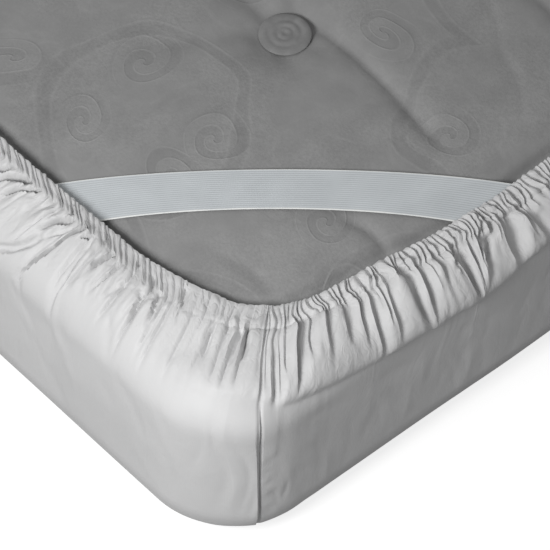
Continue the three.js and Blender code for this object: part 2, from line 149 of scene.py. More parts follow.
# The mattress's upper surface under (x, y), moved out along its normal by lift
def upperSurface(x, y, lift):
    signX = np.where(x < 0, -1.0, 1.0)
    signY = np.where(y < 0, -1.0, 1.0)
    u = halfLength - np.abs(x)
    v = halfWidth - np.abs(y)
    d, outU, outV = wallDistance(u, v)
    a = mattress["shoulderIn"]
    b = mattress["shoulderDrop"]
    cos = np.clip(1 - d / a, 0, 1)
    sin = np.sqrt(1 - cos * cos)
    riseU = 1 - np.exp(-np.maximum(u, 0) / mattress["crownReach"])
    riseV = 1 - np.exp(-np.maximum(v, 0) / mattress["crownReach"])
    slope = mattress["crown"] / mattress["crownReach"]
    normalU = outU * (b / a) * cos - sin * slope * (1 - riseU) * riseV
    normalV = outV * (b / a) * cos - sin * slope * (1 - riseV) * riseU
    size = np.sqrt(normalU**2 + normalV**2 + sin**2)
    z = footOfShoulder + b * sin + mattress["crown"] * riseU * riseV + lift * sin / size
    return np.stack([
        signX * (halfLength - u - lift * normalU / size),
        signY * (halfWidth - v - lift * normalV / size),
        z,
    ], axis=-1)


# How much further in the hem runs than its plain outline, along the hem from the first corner's middle
hemLine = [
    # x, in
    (-366, -2), (-255, -3.5), (-211, -1.5), (-167, 0), (-122, 3), (-85, 2.5), (-49, 0), (0, 0), (30, 4),
    (61, 12), (99, 14), (145, 10), (180, 3), (220, 0), (270, -3.5), (320, -2), (480, 0),
]

hemHalf = {isLong: halfSide(sheet["hemInShortSide"], sheet["hemInLongSide"],
                            sheet["hemCornerRadius"], isLong) for isLong in (True, False)}
wallHalf = {isLong: halfSide(0, 0, cornerRadius, isLong) for isLong in (True, False)}


# Where on the wall the pleat stands whose head is at s on the hem, both from the corner's middle
def wallPlace(isLong, s):
    place = 0
    for side, reach in ((True, sheet["leanFadeLong"]), (False, sheet["leanFadeShort"])):
        share = (1 - np.exp(-s / reach)) / (1 - math.exp(-hemHalf[side] / reach))
        place = np.where(isLong == side, s + (wallHalf[side] - hemHalf[side]) * share, place)
    return place


# The eight half sides in turn, from the middle of the first corner round along the long side
cornerSigns = np.array([(-1, -1), (1, -1), (1, 1), (-1, 1)], float)
turnCorner = np.array([0, 1, 1, 2, 2, 3, 3, 0])
turnIsLong = np.array([True, True, False, False] * 2)
turnIsAway = np.array([True, False] * 4)
turnLength = np.where(turnIsLong, hemHalf[True], hemHalf[False])
turnStart = np.concatenate([[0], np.cumsum(turnLength)[:-1]])
hemAround = float(turnLength.sum())


# What lies at x along the hem: the corner, the side and the distance from the corner's middle
def hemSpot(x):
    x = np.mod(x, hemAround)
    turn = np.clip(np.searchsorted(turnStart, x, side="right") - 1, 0, 7)
    local = x - turnStart[turn]
    s = np.where(turnIsAway[turn], local, turnLength[turn] - local)
    return turnCorner[turn], turnIsLong[turn], turnIsAway[turn], s


def signedFrom(x, middle):
    return np.mod(x - middle + hemAround / 2, hemAround) - hemAround / 2


def inFineStretch(x, beyond=0):
    return (x > fineFrom - beyond) & (x < fineTo + beyond)


# The ways up the pleats, one every 3 mm or so of the hem, as x and y at even shares of each
wayCount = 1700
waySteps = 60
wayPitch = hemAround / wayCount
wayShares = np.linspace(0, 1, 65)


def layWays():
    x = np.arange(wayCount) * wayPitch
    corner, isLong, _, s = hemSpot(x)
    footU, footV = outlineAt(0, 0, cornerRadius, isLong, wallPlace(isLong, s))
    headU, headV = outlineAt(sheet["hemInShortSide"], sheet["hemInLongSide"],
                             sheet["hemCornerRadius"], isLong, s)
    cut = np.mean([lerpTable(signedFrom(x + off, 0), hemLine) for off in (-14, -7, 0, 7, 14)], axis=0)
    headU = headU + np.where(isLong, 0, cut)
    headV = headV + np.where(isLong, cut, 0)
    share = np.linspace(0, 1, waySteps + 1)[None, :] ** 2
    u = footU[:, None] + (headU - footU)[:, None] * share
    v = footV[:, None] + (headV - footV)[:, None] * share
    x = cornerSigns[corner, 0][:, None] * (halfLength - u)
    y = cornerSigns[corner, 1][:, None] * (halfWidth - v)
    steps = np.linalg.norm(np.diff(upperSurface(x, y, 0), axis=1), axis=2)
    reach = np.concatenate([np.zeros((len(s), 1)), np.cumsum(steps, axis=1)], axis=1)
    length = reach[:, -1]
    wayX = np.array([np.interp(wayShares * length[i], reach[i], x[i]) for i in range(len(s))])
    wayY = np.array([np.interp(wayShares * length[i], reach[i], y[i]) for i in range(len(s))])
    return wayX, wayY, length


wayX, wayY, wayLength = layWays()


# The two ways beside x, and how far it is from the first to the second
def waysBeside(x):
    at = np.mod(x, hemAround) / wayPitch
    i = np.floor(at).astype(int) % wayCount
    return i, (i + 1) % wayCount, at - np.floor(at)


def wayLengthAt(x):
    i, after, part = waysBeside(x)
    return wayLength[i] * (1 - part) + wayLength[after] * part


# A place on the cloth: x along the hem, t up from the shoulder's foot (negative on the wall and the
# foot below it), standing out from the mattress
def clothPlace(x, t, out):
    i, after, part = waysBeside(x)
    share = np.clip(t / wayLengthAt(x), 0, 1.2) * (len(wayShares) - 1)
    k = np.clip(np.floor(share).astype(int), 0, len(wayShares) - 2)
    along = share - k

    def blend(way):
        here = way[i, k] * (1 - along) + way[i, k + 1] * along
        there = way[after, k] * (1 - along) + way[after, k + 1] * along
        return here * (1 - part) + there * part

    top = upperSurface(blend(wayX), blend(wayY), out)

    corner, isLong, _, s = hemSpot(x)
    u, v = outlineAt(0, 0, cornerRadius, isLong, wallPlace(isLong, s))
    _, outU, outV = wallDistance(u, v)
    angle = np.clip((t + wallHeight + footArc) / footRadius, 0, math.pi / 2)
    onFoot = t < -wallHeight
    sin = np.where(onFoot, np.sin(angle), 1)
    inset = footRadius * (1 - sin) - out * sin
    footZ = topOfFoot - (footRadius + out) * np.cos(angle)
    side = np.stack([
        cornerSigns[corner, 0] * (halfLength - u + outU * inset),
        cornerSigns[corner, 1] * (halfWidth - v + outV * inset),
        np.where(onFoot, footZ, footOfShoulder + t),
    ], axis=-1)
    return np.where((t > 0)[..., None], top, side)


# The main creases of the pleats. x runs along the hem's stitching from the first corner's
# middle, negative on the short side. to is where the crease ends, foot its height over the shoulder's
# foot there; slot is the width of its floor halfway, left and right how soon the cloth rises beside it.
mainCreases = [
    # x, to, foot, depth, slot, left, right
    (-322, -333, 20, 0.7, 1.0, 4, 4),
    (-296, -303, 30, 0.5, 1.0, 4, 4),
    (-262, -285, 60, 0.4, 1.0, 4, 4),
    (-243, -268, 52, 0.3, 0.8, 3, 3),
    (-222, -238, 56, 0.4, 0.8, 4, 4),
    (-199, -226, 42, 0.3, 1.0, 4, 3),
    (-184, -209, -4, 0.2, 1.0, 4, 3),
    (-166, -164, 18, 0.5, 0.8, 3, 3),
    (-143, -150, 54, 0.3, 1.0, 3, 3),
    (-132, -133, 44, 0.4, 0.8, 3, 3),
    (-108, -112, 30, 0.6, 1.0, 3, 3),
    (-86, -84, 12, 0.6, 0.8, 2.6, 2.6),
    (-62, -58, 20, 0.7, 0.8, 2.4, 2.4),
    (-42, -38, 30, 0.7, 0.8, 2.2, 2.2),
    (-25, -22, 44, 0.6, 0.8, 2.2, 2.2),
    (-14, -9, 46, 0.6, 0.8, 2, 2),
    (-6, -5, 46, 0.7, 0.8, 2, 2),
    (2, 0, 48, 0.7, 0.8, 2, 2),
    (25, 33, 8, 1.0, 3.0, 3, 5),
    (36, 38, 48, 0.7, 1.4, 3, 4),
    (48, 47, 30, 1.0, 3.2, 3, 5),
    (60, 61, 48, 0.8, 1.8, 3, 5),
    (76, 84, 34, 0.6, 1.6, 3, 5),
    (93, 106, 34, 0.9, 3.0, 3, 5),
    (108, 121, 26, 0.9, 2.4, 3, 5),
    (120, 131, 7, 1.0, 3.8, 3, 5),
    (139, 147, 14, 0.7, 2.0, 3, 5),
    (155, 176, 5, 1.0, 5.0, 3.4, 5),
    (171, 182, 10, 0.9, 2.6, 3, 5),
    (190, 203, 34, 0.6, 2.0, 3, 6),
    (208, 225, 4, 1.0, 6.4, 3.4, 6),
    (226, 229, 22, 0.8, 2.2, 3, 4),
    (241, 233, 14, 0.8, 2.6, 3, 4),
    (261, 271, 5, 1.0, 6.0, 3.4, 7),
    (289, 308, 12, 1.0, 5.0, 3.4, 7),
    (328, 345, 6, 0.9, 4.0, 3.4, 7),
    (352, 362, 18, 0.7, 2.0, 3, 6),
    (371, 388, 4, 1.0, 4.4, 3.4, 7),
    (398, 408, 24, 0.7, 2.0, 3, 6),
    (421, 437, 6, 1.0, 4.4, 3.4, 7),
    (447, 458, 20, 0.7, 2.4, 3, 6),
    (470, 484, 2, 0.9, 3.6, 4, 8),
]

# The height over the shoulder's foot at which the pleats end, along the hem
ridgeTable = [(-366, 36), (-260, 30), (-190, 30), (-130, 42), (-40, 48), (0, 42), (24, 31), (37, 26),
              (50, 22), (77, 16), (106, 11), (132, 7), (155, 4), (178, 3), (224, 3), (245, 5), (265, 10),
              (285, 11), (304, 13), (345, 9), (390, 4), (440, 8), (480, 6)]
# The share of the pleats' full height, by the height over that end
ridgeLong = [(-7, 0), (-4, 0.06), (-2, 0.28), (0, 0.52), (2.5, 0.72), (6, 0.86), (12, 0.95), (22, 1)]
ridgeShort = [(-50, 0), (-38, 0.08), (-24, 0.26), (-10, 0.6), (0, 0.82), (8, 1)]
# The gathers' width and height along the hem
gatherWidths = [(-366, 8), (-200, 7.5), (-60, 6.4), (30, 6), (110, 6.8), (200, 6), (240, 5.4), (480, 5.4)]
gatherHeights = [(-366, 4.4), (-150, 4.4), (-60, 3.8), (-5, 3.2), (12, 1.6), (26, 3.2), (50, 4.6), (110, 5.6),
                 (200, 5.6), (240, 5), (480, 5)]
wideGather = {"width": 17.0, "height": 4.0}
# The casing's own section, and how deep the stitching pulls in beside it
casingRise = [(0, -0.1), (1.5, 0.36), (3.5, 0.66), (6, 0.88), (11, 1.0), (17, 0.98), (22.5, 0.9), (27, 0.78)]
stitchPull = [(22.5, 0), (25.4, 0.5), (27, 1), (28.6, 0.5), (31.5, 0)]

# The casing's width along the hem
casingWidths = [(-366, 14), (-200, 14), (-150, 18), (-100, 21), (-50, 25), (0, 28), (60, 28), (140, 26),
                (240, 23), (480, 22)]

# Creases in the walls and the short side's ridge: from (x, t) to (x, t), deep and wide; the
# negative ones stand up
wallCreases = [
    # fromX, fromT, toX, toT, depth, width
    (-103, 44, -88, 8, 2.2, 2.6),
    (-80, 2, -46, -58, 2.0, 3.2),
    (-42, 8, -33, -14, 1.6, 2.4),
    (-150, 30, -138, -20, 1.0, 4.0),
    (-190, 10, -176, -46, 1.2, 5.0),
    (-240, 16, -222, -30, 1.1, 5.0),
    (-300, 12, -286, -50, 1.2, 5.5),
    (-22, 22, -17, -60, 1.0, 3.0),
    (-9, 10, -6, -100, 1.1, 2.4),
    (-4, 0, -2, -110, -0.8, 2.0),
    (3, 10, 4, -112, 1.2, 2.0),
    (9, -30, 9, -118, 1.0, 1.8),
    (12, -60, 12, -120, -0.8, 1.4),
    (-34, -40, -26, -112, 1.0, 3.4),
    (120, -22, 170, -44, 1.1, 7.0),
    (60, -6, 92, -30, 1.0, 5.0),
    (200, -30, 262, -52, 1.0, 8.0),
    (296, -16, 330, -52, 1.0, 7.0),
    (62, -48, 86, -92, 0.9, 6.0),
    (24, -86, 32, -104, 1.6, 2.4),
    (40, -82, 33, -106, 1.4, 2.6),
]
# Slits, each along a few places (x, t): near and far are how wide it is on its side towards the
# corner and on its other side. The negative ones are ridges.
slits = [
    # depth, near, far, places
    (14.0, 0.8, 1.5, [(-174, 88), (-181, 75), (-185, 62), (-188, 50), (-194, 35), (-201, 18), (-205, 0)]),
    (12.0, 1.6, 3.2, [(-191, 82), (-202, 70), (-213, 55)]),
    (8.0, 3.0, 3.9, [(-203, 56), (-209, 43), (-222, 29), (-236, 21), (-252, 14)]),
    (14.0, 2.0, 3.9, [(-249, 83), (-261, 76), (-270, 70), (-282, 58)]),
    (10.0, 1.0, 1.8, [(-237, 82), (-250, 72), (-260, 62), (-268, 54)]),
    (9.0, 1.4, 2.6, [(-275, 77), (-287, 67)]),
    (3.0, 6.0, 9.0, [(-216, 84), (-227, 68), (-236, 50)]),
    (3.4, 1.2, 2.4, [(-186, 73), (-200, 55)]),
    (7.0, 1.2, 2.2, [(-166, 80), (-175, 73)]),
    (2.6, 2.0, 3.4, [(-210, 21), (-201, 12), (-197, -8)]),
    (4.6, 2.0, 4.2, [(-160, 80), (-161, 56), (-158, 40), (-160, 26), (-156, -8)]),
    (12.0, 1.6, 3.0, [(-137, 84), (-140, 71), (-145, 57)]),
    (6.0, 1.2, 2.0, [(-125, 79), (-127, 62), (-131, 45)]),
    (4.0, 1.4, 2.8, [(-108, 70), (-118, 51)]),
    (6.0, 1.2, 2.0, [(-90, 74), (-83, 46)]),
    (7.0, 1.2, 2.0, [(-79, 88), (-67, 52)]),
    (5.0, 1.0, 1.8, [(-161, 96), (-147, 79)]),
    (5.0, 1.0, 1.8, [(-121, 100), (-105, 81)]),
    (5.0, 1.0, 1.8, [(-95, 96), (-83, 79)]),
    (5.0, 1.0, 1.8, [(-66, 110), (-53, 90)]),
    (5.0, 1.0, 1.8, [(-207, 95), (-193, 80)]),
    (6.0, 1.2, 1.9, [(-22, 104), (-21, 57)]),
    (4.0, 1.0, 2.2, [(-12, 111), (-8, 66)]),
    (6.0, 1.2, 2.0, [(-3, 107), (-3, 64)]),
    (6.0, 1.2, 2.0, [(1, 113), (4, 61)]),
    (5.0, 1.0, 2.0, [(210, 61), (203, 34)]),
    (-4.0, 1.6, 3.0, [(241, 46), (234, 28), (229, 10)]),
    (6.0, 1.2, 2.4, [(247, 48), (239, 22)]),
    (3.6, 10.0, 9.0, [(251, 50), (254, 28), (256, 6)]),
    (3.4, 8.0, 8.0, [(276, 56), (276, 32), (274, 10)]),
    (-2.6, 1.6, 1.8, [(285, 32), (281, 10)]),
    (-3.4, 1.8, 2.2, [(228, 75), (242, 63), (238, 54), (231, 42)]),
    (-3.4, 1.8, 2.0, [(246, 75), (258, 64), (253, 50)]),
    (7.0, 2.0, 3.0, [(250, 57), (252, 42)]),
    (-3.2, 1.6, 2.2, [(200, 76), (234, 51)]),
    (-3.0, 1.6, 2.2, [(180, 77), (198, 59)]),
    (-2.8, 1.6, 2.2, [(152, 80), (176, 62)]),
    (-2.8, 1.6, 2.2, [(118, 84), (136, 70)]),
    (-2.6, 1.6, 2.0, [(268, 72), (284, 58)]),
]
# The puckers that the corner's seam draws into the wall beside it
seamPuckers = [
    # t, rise, length, depth, width
    (-22, 3, 10, -0.5, 2.2),
    (-33, 8, 12, -0.9, 2.4),
    (-41, 5, 15, 0.7, 2.2),
    (-50, 3, 11, -0.5, 2.0),
    (-58, 2, 16, 0.6, 2.6),
    (-67, 9, 13, -1.0, 2.4),
    (-73, 8, 15, 0.8, 2.2),
    (-83, 2, 11, -0.6, 2.2),
    (-91, 1, 16, 0.7, 2.4),
    (-101, -3, 12, -0.8, 2.6),
    (-108, -8, 11, 1.3, 3.0),
]


# Each stretch from one mark to the next, all the way round
def stretches(marks):
    for start, end in zip(marks, np.roll(marks, -1)):
        yield start, end + (hemAround if end < start else 0)


# Where the gathers meet, all the way round, with a few narrow ones at each corner's seam
def gatherEdges(random):
    marks = []
    for turn in (0, 2, 4, 6):
        seam = turnStart[turn] + (seamHemPlace if turn in (0, 4) else -seamHemPlace)
        marks += [seam - 2.4, seam, seam + 2.4]
    marks += [crease[0] for crease in mainCreases]
    edges = []
    for start, end in stretches(np.sort(np.mod(marks, hemAround))):
        middle = signedFrom((start + end) / 2, 0)
        isFine = inFineStretch(middle)
        pitch = lerpTable(middle, gatherWidths) if isFine else wideGather["width"]
        count = max(1, round((end - start) / pitch))
        widths = 1 + 0.72 * (random.rand(count) - 0.5) * 2
        places = start + (end - start) * np.concatenate([[0], np.cumsum(widths)[:-1]]) / widths.sum()
        edges += np.mod(places, hemAround).tolist()
    return np.array(sorted(edges))


# The place on the long side's hem whose pleat stands at wallS on the wall
def hemPlaceOf(wallS):
    low, high = 0.0, hemHalf[True]
    for _ in range(40):
        middle = (low + high) / 2
        if wallPlace(True, middle) < wallS:
            low = middle
        else:
            high = middle
    return low


seamHemPlace = hemPlaceOf(sheet["seamAt"])


# The sheet's columns: every gather's valley, a few places over its bulge, two beside each main crease, and
# more beside the seam and in the boldest slit
def layColumns(edges):
    sides = [crease[0] + side * (0.5 * crease[4] + 0.3) for crease in mainCreases for side in (-1, 1)]
    sides += [seamHemPlace + off for off in (-1.7, -1.1, -0.6, 0.6, 1.1, 1.7)]
    sides += np.arange(*sheet["slitStretch"]).tolist()
    firm = np.unique(np.concatenate([edges, np.mod(sides, hemAround)]).round(2))
    places = []
    for start, end in stretches(firm):
        isFine = inFineStretch(signedFrom(start, 0), 8)
        count = max(1, round((end - start) / (sheet["fineStep"] if isFine else sheet["wideStep"])))
        places += (start + (end - start) * np.arange(count) / count).tolist()
    x = np.sort(np.mod(places, hemAround))
    x = x[np.concatenate([[True], np.diff(x) > 0.3])]
    gather = np.searchsorted(edges, x + 1e-6, side="right") - 1
    width = np.mod(np.roll(edges, -1) - edges, hemAround)
    share = np.mod(x - edges[gather], hemAround) / width[gather]
    return x, share, gather % len(edges)


# Where the rows lie for each column: over the mattress's foot, up the wall, past the end of the pleats and
# on to the hem's edge
rowPlaces = {
    "foot": [0, 0.25, 0.5, 0.75],
    "onWall": 23,
    "pastRidge": [-10, -7, -5, -3.3, -1.7, 0, 1.8, 4, 7, 11, 16, 22],
    "between": 10,
    "fromEdge": [33, 30, 28.2, 27, 25.4, 22.5, 19, 15, 11, 7.5, 4.6, 2.2, 0.2],
    "leastRoom": 8.0,
}


def layRows(length, ridgeAt, width):
    foot = -wallHeight - footArc * (1 - np.array(rowPlaces["foot"]))
    fromEdge = np.array(rowPlaces["fromEdge"])
    past = np.array(rowPlaces["pastRidge"])
    edge = length - np.where(fromEdge < casingWidth, fromEdge * (width / casingWidth),
                             fromEdge - casingWidth + width)
    room = np.minimum(1, (edge[:, :1] - rowPlaces["leastRoom"] - ridgeAt) / past[-1])
    ridge = ridgeAt + np.where(past > 0, past * room, past)
    wall = -wallHeight + (ridge[:, :1] + wallHeight) * np.linspace(0, 1, rowPlaces["onWall"] + 1)[:-1]
    shares = np.linspace(0, 1, rowPlaces["between"] + 2)[1:-1]
    between = ridge[:, -1:] + (edge[:, :1] - ridge[:, -1:]) * shares
    return np.concatenate([np.tile(foot, (len(length), 1)), wall, ridge, between, edge], axis=1)


# How high the gathers stand, in the casing and a little way past its stitching
def gatherRise(random, q, share, gather, signedX, edges):
    count = len(edges)
    longSide = smoothStep(24, 90, signedFrom(edges, 0))
    height = 0.3 + 0.25 * longSide + (0.7 - 0.25 * longSide) * random.rand(count)
    valley = (0.05 + 0.3 * random.rand(count) ** 2) * (1 - 0.6 * longSide)
    lengths = (5 + 34 * random.rand(count) ** 1.8) * (1 - 0.6 * smoothStep(200, 280, signedFrom(edges, 0)))
    top = 0.34 + 0.3 * random.rand(count) + 0.16 * longSide
    skewed = np.where(share < top[gather], 0.5 * share / top[gather],
                      0.5 + 0.5 * (share - top[gather]) / (1 - top[gather]))
    rounded = np.sin(math.pi * skewed) ** 1.1
    pointed = np.clip(1.04 - np.abs(2 * skewed - 1), 0, 0.94)
    bulge = rounded + (pointed - rounded) * smoothStep(24, 90, signedX)
    floorOf = valley[gather] * (1 - share) + np.roll(valley, -1)[gather] * share
    tall = np.where(inFineStretch(signedX), lerpTable(signedX, gatherHeights), wideGather["height"])
    rise = tall * height[gather] * np.maximum(bulge, floorOf)
    lean = 0.35 * np.sin(2.4 * gather) * (q / casingWidth - 0.5)
    within = lerpTable(q, casingRise) * (1 + lean)
    past = 0.78 * np.exp(-np.maximum(q - casingWidth, 0) / lengths[gather])
    return rise * np.where(q < casingWidth, within, past)


# The small creases between the main ones, each a row like theirs
def smallCreases(random, edges):
    mainPlaces = np.mod([row[0] for row in mainCreases], hemAround)
    creases = []
    sinceDeep = 0
    for place in edges:
        signed = float(signedFrom(place, 0))
        isFine = inFineStretch(signed)
        if np.min(np.abs(signedFrom(mainPlaces, place))) < (5 if isFine else 8):
            continue
        _, isLong, isAway, _ = hemSpot(place)
        outward = 1.0 if isAway else -1.0
        if isFine:
            deep = 1 if signed > 16 else 0.6
            if random.rand() < 0.8:
                creases.append((signed, signed, 22 + 40 * random.rand(), deep * (0.35 + 0.6 * random.rand()),
                                0.8 + 1.4 * random.rand(), random.uniform(1.8, 3), random.uniform(3, 5)))
            continue
        sinceDeep += 1
        isDeep = sinceDeep >= 2 and random.rand() < 0.6
        sinceDeep = 0 if isDeep else sinceDeep
        foot = (random.uniform(0, 14) if isDeep else random.uniform(18, 50)) + (0 if isLong else 22)
        depth = random.uniform(0.8, 1.0) if isDeep else random.uniform(0.3, 0.65)
        creases.append((signed, signed + outward * random.uniform(0, 12), foot, depth, 3.0,
                        random.uniform(6, 9), random.uniform(8, 12)))
    return creases


# The share that the creases leave of the pleats' height
def cutCreases(creases, x, rows, q):
    cut = np.ones_like(rows)
    widen = 0.4 + 1.1 * smoothStep(78, 26, q)
    for at, _, foot, depth, slot, left, right in creases:
        off = signedFrom(x, at)
        near = np.abs(off[:, 0]) < 40
        d = off[near]
        past = np.maximum(d - slot * widen[near], 0)
        notch = np.where(d < 0, np.clip(1 + d / left, 0, 1), np.clip(1 - past / (1.8 * right), 0, 1) ** 1.7)
        ends = smoothStep(foot - 6, foot + 18, rows[near])
        cut[near] *= 1 - depth * notch * ends
    return cut


# Short soft creases, each from one place to another; drift is how far the columns have moved along the hem
def pressStrokes(strokes, x, rows, drift=None):
    standing = np.zeros_like(rows)
    drift = np.zeros_like(rows) if drift is None else drift
    for fromX, fromT, toX, toT, depth, width in strokes:
        size = math.hypot(toX - fromX, toT - fromT)
        alongX, alongT = (toX - fromX) / size, (toT - fromT) / size
        off = signedFrom(x, fromX)
        near = np.abs(off[:, 0] - (toX - fromX) / 2) < abs(toX - fromX) / 2 + 3 * width + 30
        dx = off[near] + drift[near]
        dt = rows[near] - fromT
        along = (dx * alongX + dt * alongT) / size
        across = dx * alongT - dt * alongX + 0.06 * size * np.sin(math.pi * np.clip(along, 0, 1))
        ends = smoothStep(-0.15, 0.2, along) * smoothStep(1.15, 0.55, along)
        standing[near] -= depth * ends * np.exp(-(np.abs(across) / width) ** 1.4)
    return standing


def pressSlits(x, rows):
    standing = np.zeros_like(rows)
    for depth, nearSide, farSide, places in slits:
        reach = 3 * max(nearSide, farSide) + 2
        low, high = min(at for at, _ in places) - reach, max(at for at, _ in places) + reach
        near = np.nonzero(((x > low) & (x < high)).any(axis=1))[0]
        px, pt = x[near], rows[near]
        sizes = [math.dist(places[k], places[k + 1]) for k in range(len(places) - 1)]
        best = np.full_like(px, 1e6)
        share = np.zeros_like(px)
        wide = np.ones_like(px)
        gone = 0.0
        for (fromX, fromT), (toX, toT), size in zip(places, places[1:], sizes):
            alongX, alongT = (toX - fromX) / size, (toT - fromT) / size
            along = (px - fromX) * alongX + (pt - fromT) * alongT
            over = np.clip(along, 0, size)
            off = np.hypot(px - fromX - over * alongX, pt - fromT - over * alongT)
            across = ((pt - fromT) * alongX - (px - fromX) * alongT) * np.sign(px)
            isBest = off < best
            best = np.where(isBest, off, best)
            share = np.where(isBest, (gone + over) / sum(sizes), share)
            wide = np.where(isBest, np.where(across > 0, farSide, nearSide), wide)
            gone += size
        ends = smoothStep(0, 0.12, share) * smoothStep(1, 0.5, share)
        standing[near] -= depth * ends * np.exp(-(best / wide) ** np.where(wide < 4, 4, 2))
    return standing


# Chance wrinkles, first up the pleats and over the casing, then down the walls
def strewWrinkles(random):
    strokes = []
    for _ in range(sheet["wrinklesOnPleats"]):
        at = random.uniform(fineFrom, fineTo)
        length = float(wayLengthAt(at))
        ridge = float(lerpTable(at, ridgeTable))
        foot = random.uniform(ridge - 4, length - 8)
        inCasing = foot > length - casingWidth - 8
        spans = [(12, 38), (-0.5, 0.5), (0.25, 0.9)]
        if inCasing:
            spans = [(8, 18), (-0.9, 0.9), (0.5, 2.2 if at > 60 else 1.5)]
        size, tilt, deep = [random.uniform(*span) for span in spans]
        strokes.append((at, foot, at + size * math.sin(tilt), foot + size * math.cos(tilt),
                        random.choice([-1, 1]) * deep, random.uniform(1.2, 2.8)))
    for _ in range(sheet["wrinklesOnWalls"]):
        at = random.uniform(fineFrom, fineTo)
        size = random.uniform(24, 80)
        tilt = random.uniform(-0.5, 0.7)
        top = random.uniform(-90, 24 if at < 20 else -16)
        strokes.append((at, top, at + size * math.sin(tilt), top - size * math.cos(tilt),
                        random.choice([-1, 1]) * random.uniform(0.2, 0.6), random.uniform(3, 8)))
    return strokes


# The wall: the corner's seam with its puckers, drawn out to an edge, and a slow sway
def wallRise(rows, s, isLong, signedX):
    fromHem = np.where(isLong, s, -s) - seamHemPlace
    fromSeam = np.where(isLong, 1, -1) * wallPlace(isLong, s) - sheet["seamAt"]
    onWall = (1 - smoothStep(10, 34, rows)) * smoothStep(-wallHeight - 30, -wallHeight + 6, rows)
    left = sheet["seamOutLeft"] * np.clip(1 + fromSeam / 40, 0, 1) ** 1.6
    right = sheet["seamOutRight"] * np.clip(1 - fromSeam / 32, 0, 1) ** 2
    sway = np.sin(signedX / 47) * np.cos(rows / 55 + signedX / 120)
    belly = sheet["bellyOut"] * bell(signedX, sheet["bellyAt"], sheet["bellyReach"])
    wall = onWall * (np.where(fromSeam < 0, left, right) + 0.55 * sway + belly + 0.3)
    groove = sheet["seamGroove"] * np.exp(-(np.abs(fromHem) / 1.2) ** 4)
    groove = groove * (0.35 + 0.65 * smoothStep(20, -20, rows))
    return wall, groove * smoothStep(-wallHeight - 40, -wallHeight, rows)


def mixSides(longShare, ofLong, ofShort):
    return longShare * ofLong + (1 - longShare) * ofShort


# How far each place moves along the hem, so that the columns follow the creases on their way down and the
# gathers slant in the casing
def driftOf(rows, q, signedX, stitch, isLong, away, s):
    creaseEnds = [(-420, 0)] + [(at, to - at) for at, to, *_ in sorted(mainCreases)] + [(540, 0)]
    shift, seamShift = lerpTable(signedX, creaseEnds), lerpTable(seamHemPlace, creaseEnds)
    down = np.clip((stitch - rows) / np.maximum(stitch - 5, 1), 0, 1)
    upTo = smoothStep(-62, -4, rows)
    moved = down * (shift * upTo + seamShift * bell(signedX, seamHemPlace, 24) * (1 - upTo))
    toMiddle = np.where(isLong, hemHalf[True], hemHalf[False]) - s
    slant = np.where(isLong, sheet["slantLong"], sheet["slantShort"]) * (
        smoothStep(10, 80, s) * smoothStep(0, 70, toMiddle))
    past = np.maximum(casingWidth + 7 - q, 0)
    return moved + away * slant * np.where(past < 14, past * past / 28, past - 7)


def pleatRise(rows, q, signedX, ridgeAt, longShare, creases):
    slow = 0.86 + 0.12 * np.sin(signedX / 31 + 1.3 * np.sin(signedX / 83)) + 0.1 * np.sin(signedX / 11.3 + 2)
    over = rows - ridgeAt - 1.2 * np.sin(signedX / 9 + 2 * np.sin(signedX / 31))
    ridge = mixSides(longShare, lerpTable(over, ridgeLong), lerpTable(over, ridgeShort))
    height = mixSides(longShare, sheet["pleatHeightLong"], sheet["pleatHeightShort"])
    height = height * (1 - sheet["lowPleats"] * bell(signedX, -28, 52))
    towardsHem = 0.62 + 0.38 * smoothStep(26, 46 - 8 * longShare, q)
    return height * slow * ridge * towardsHem * creases * smoothStep(12, 30, q)


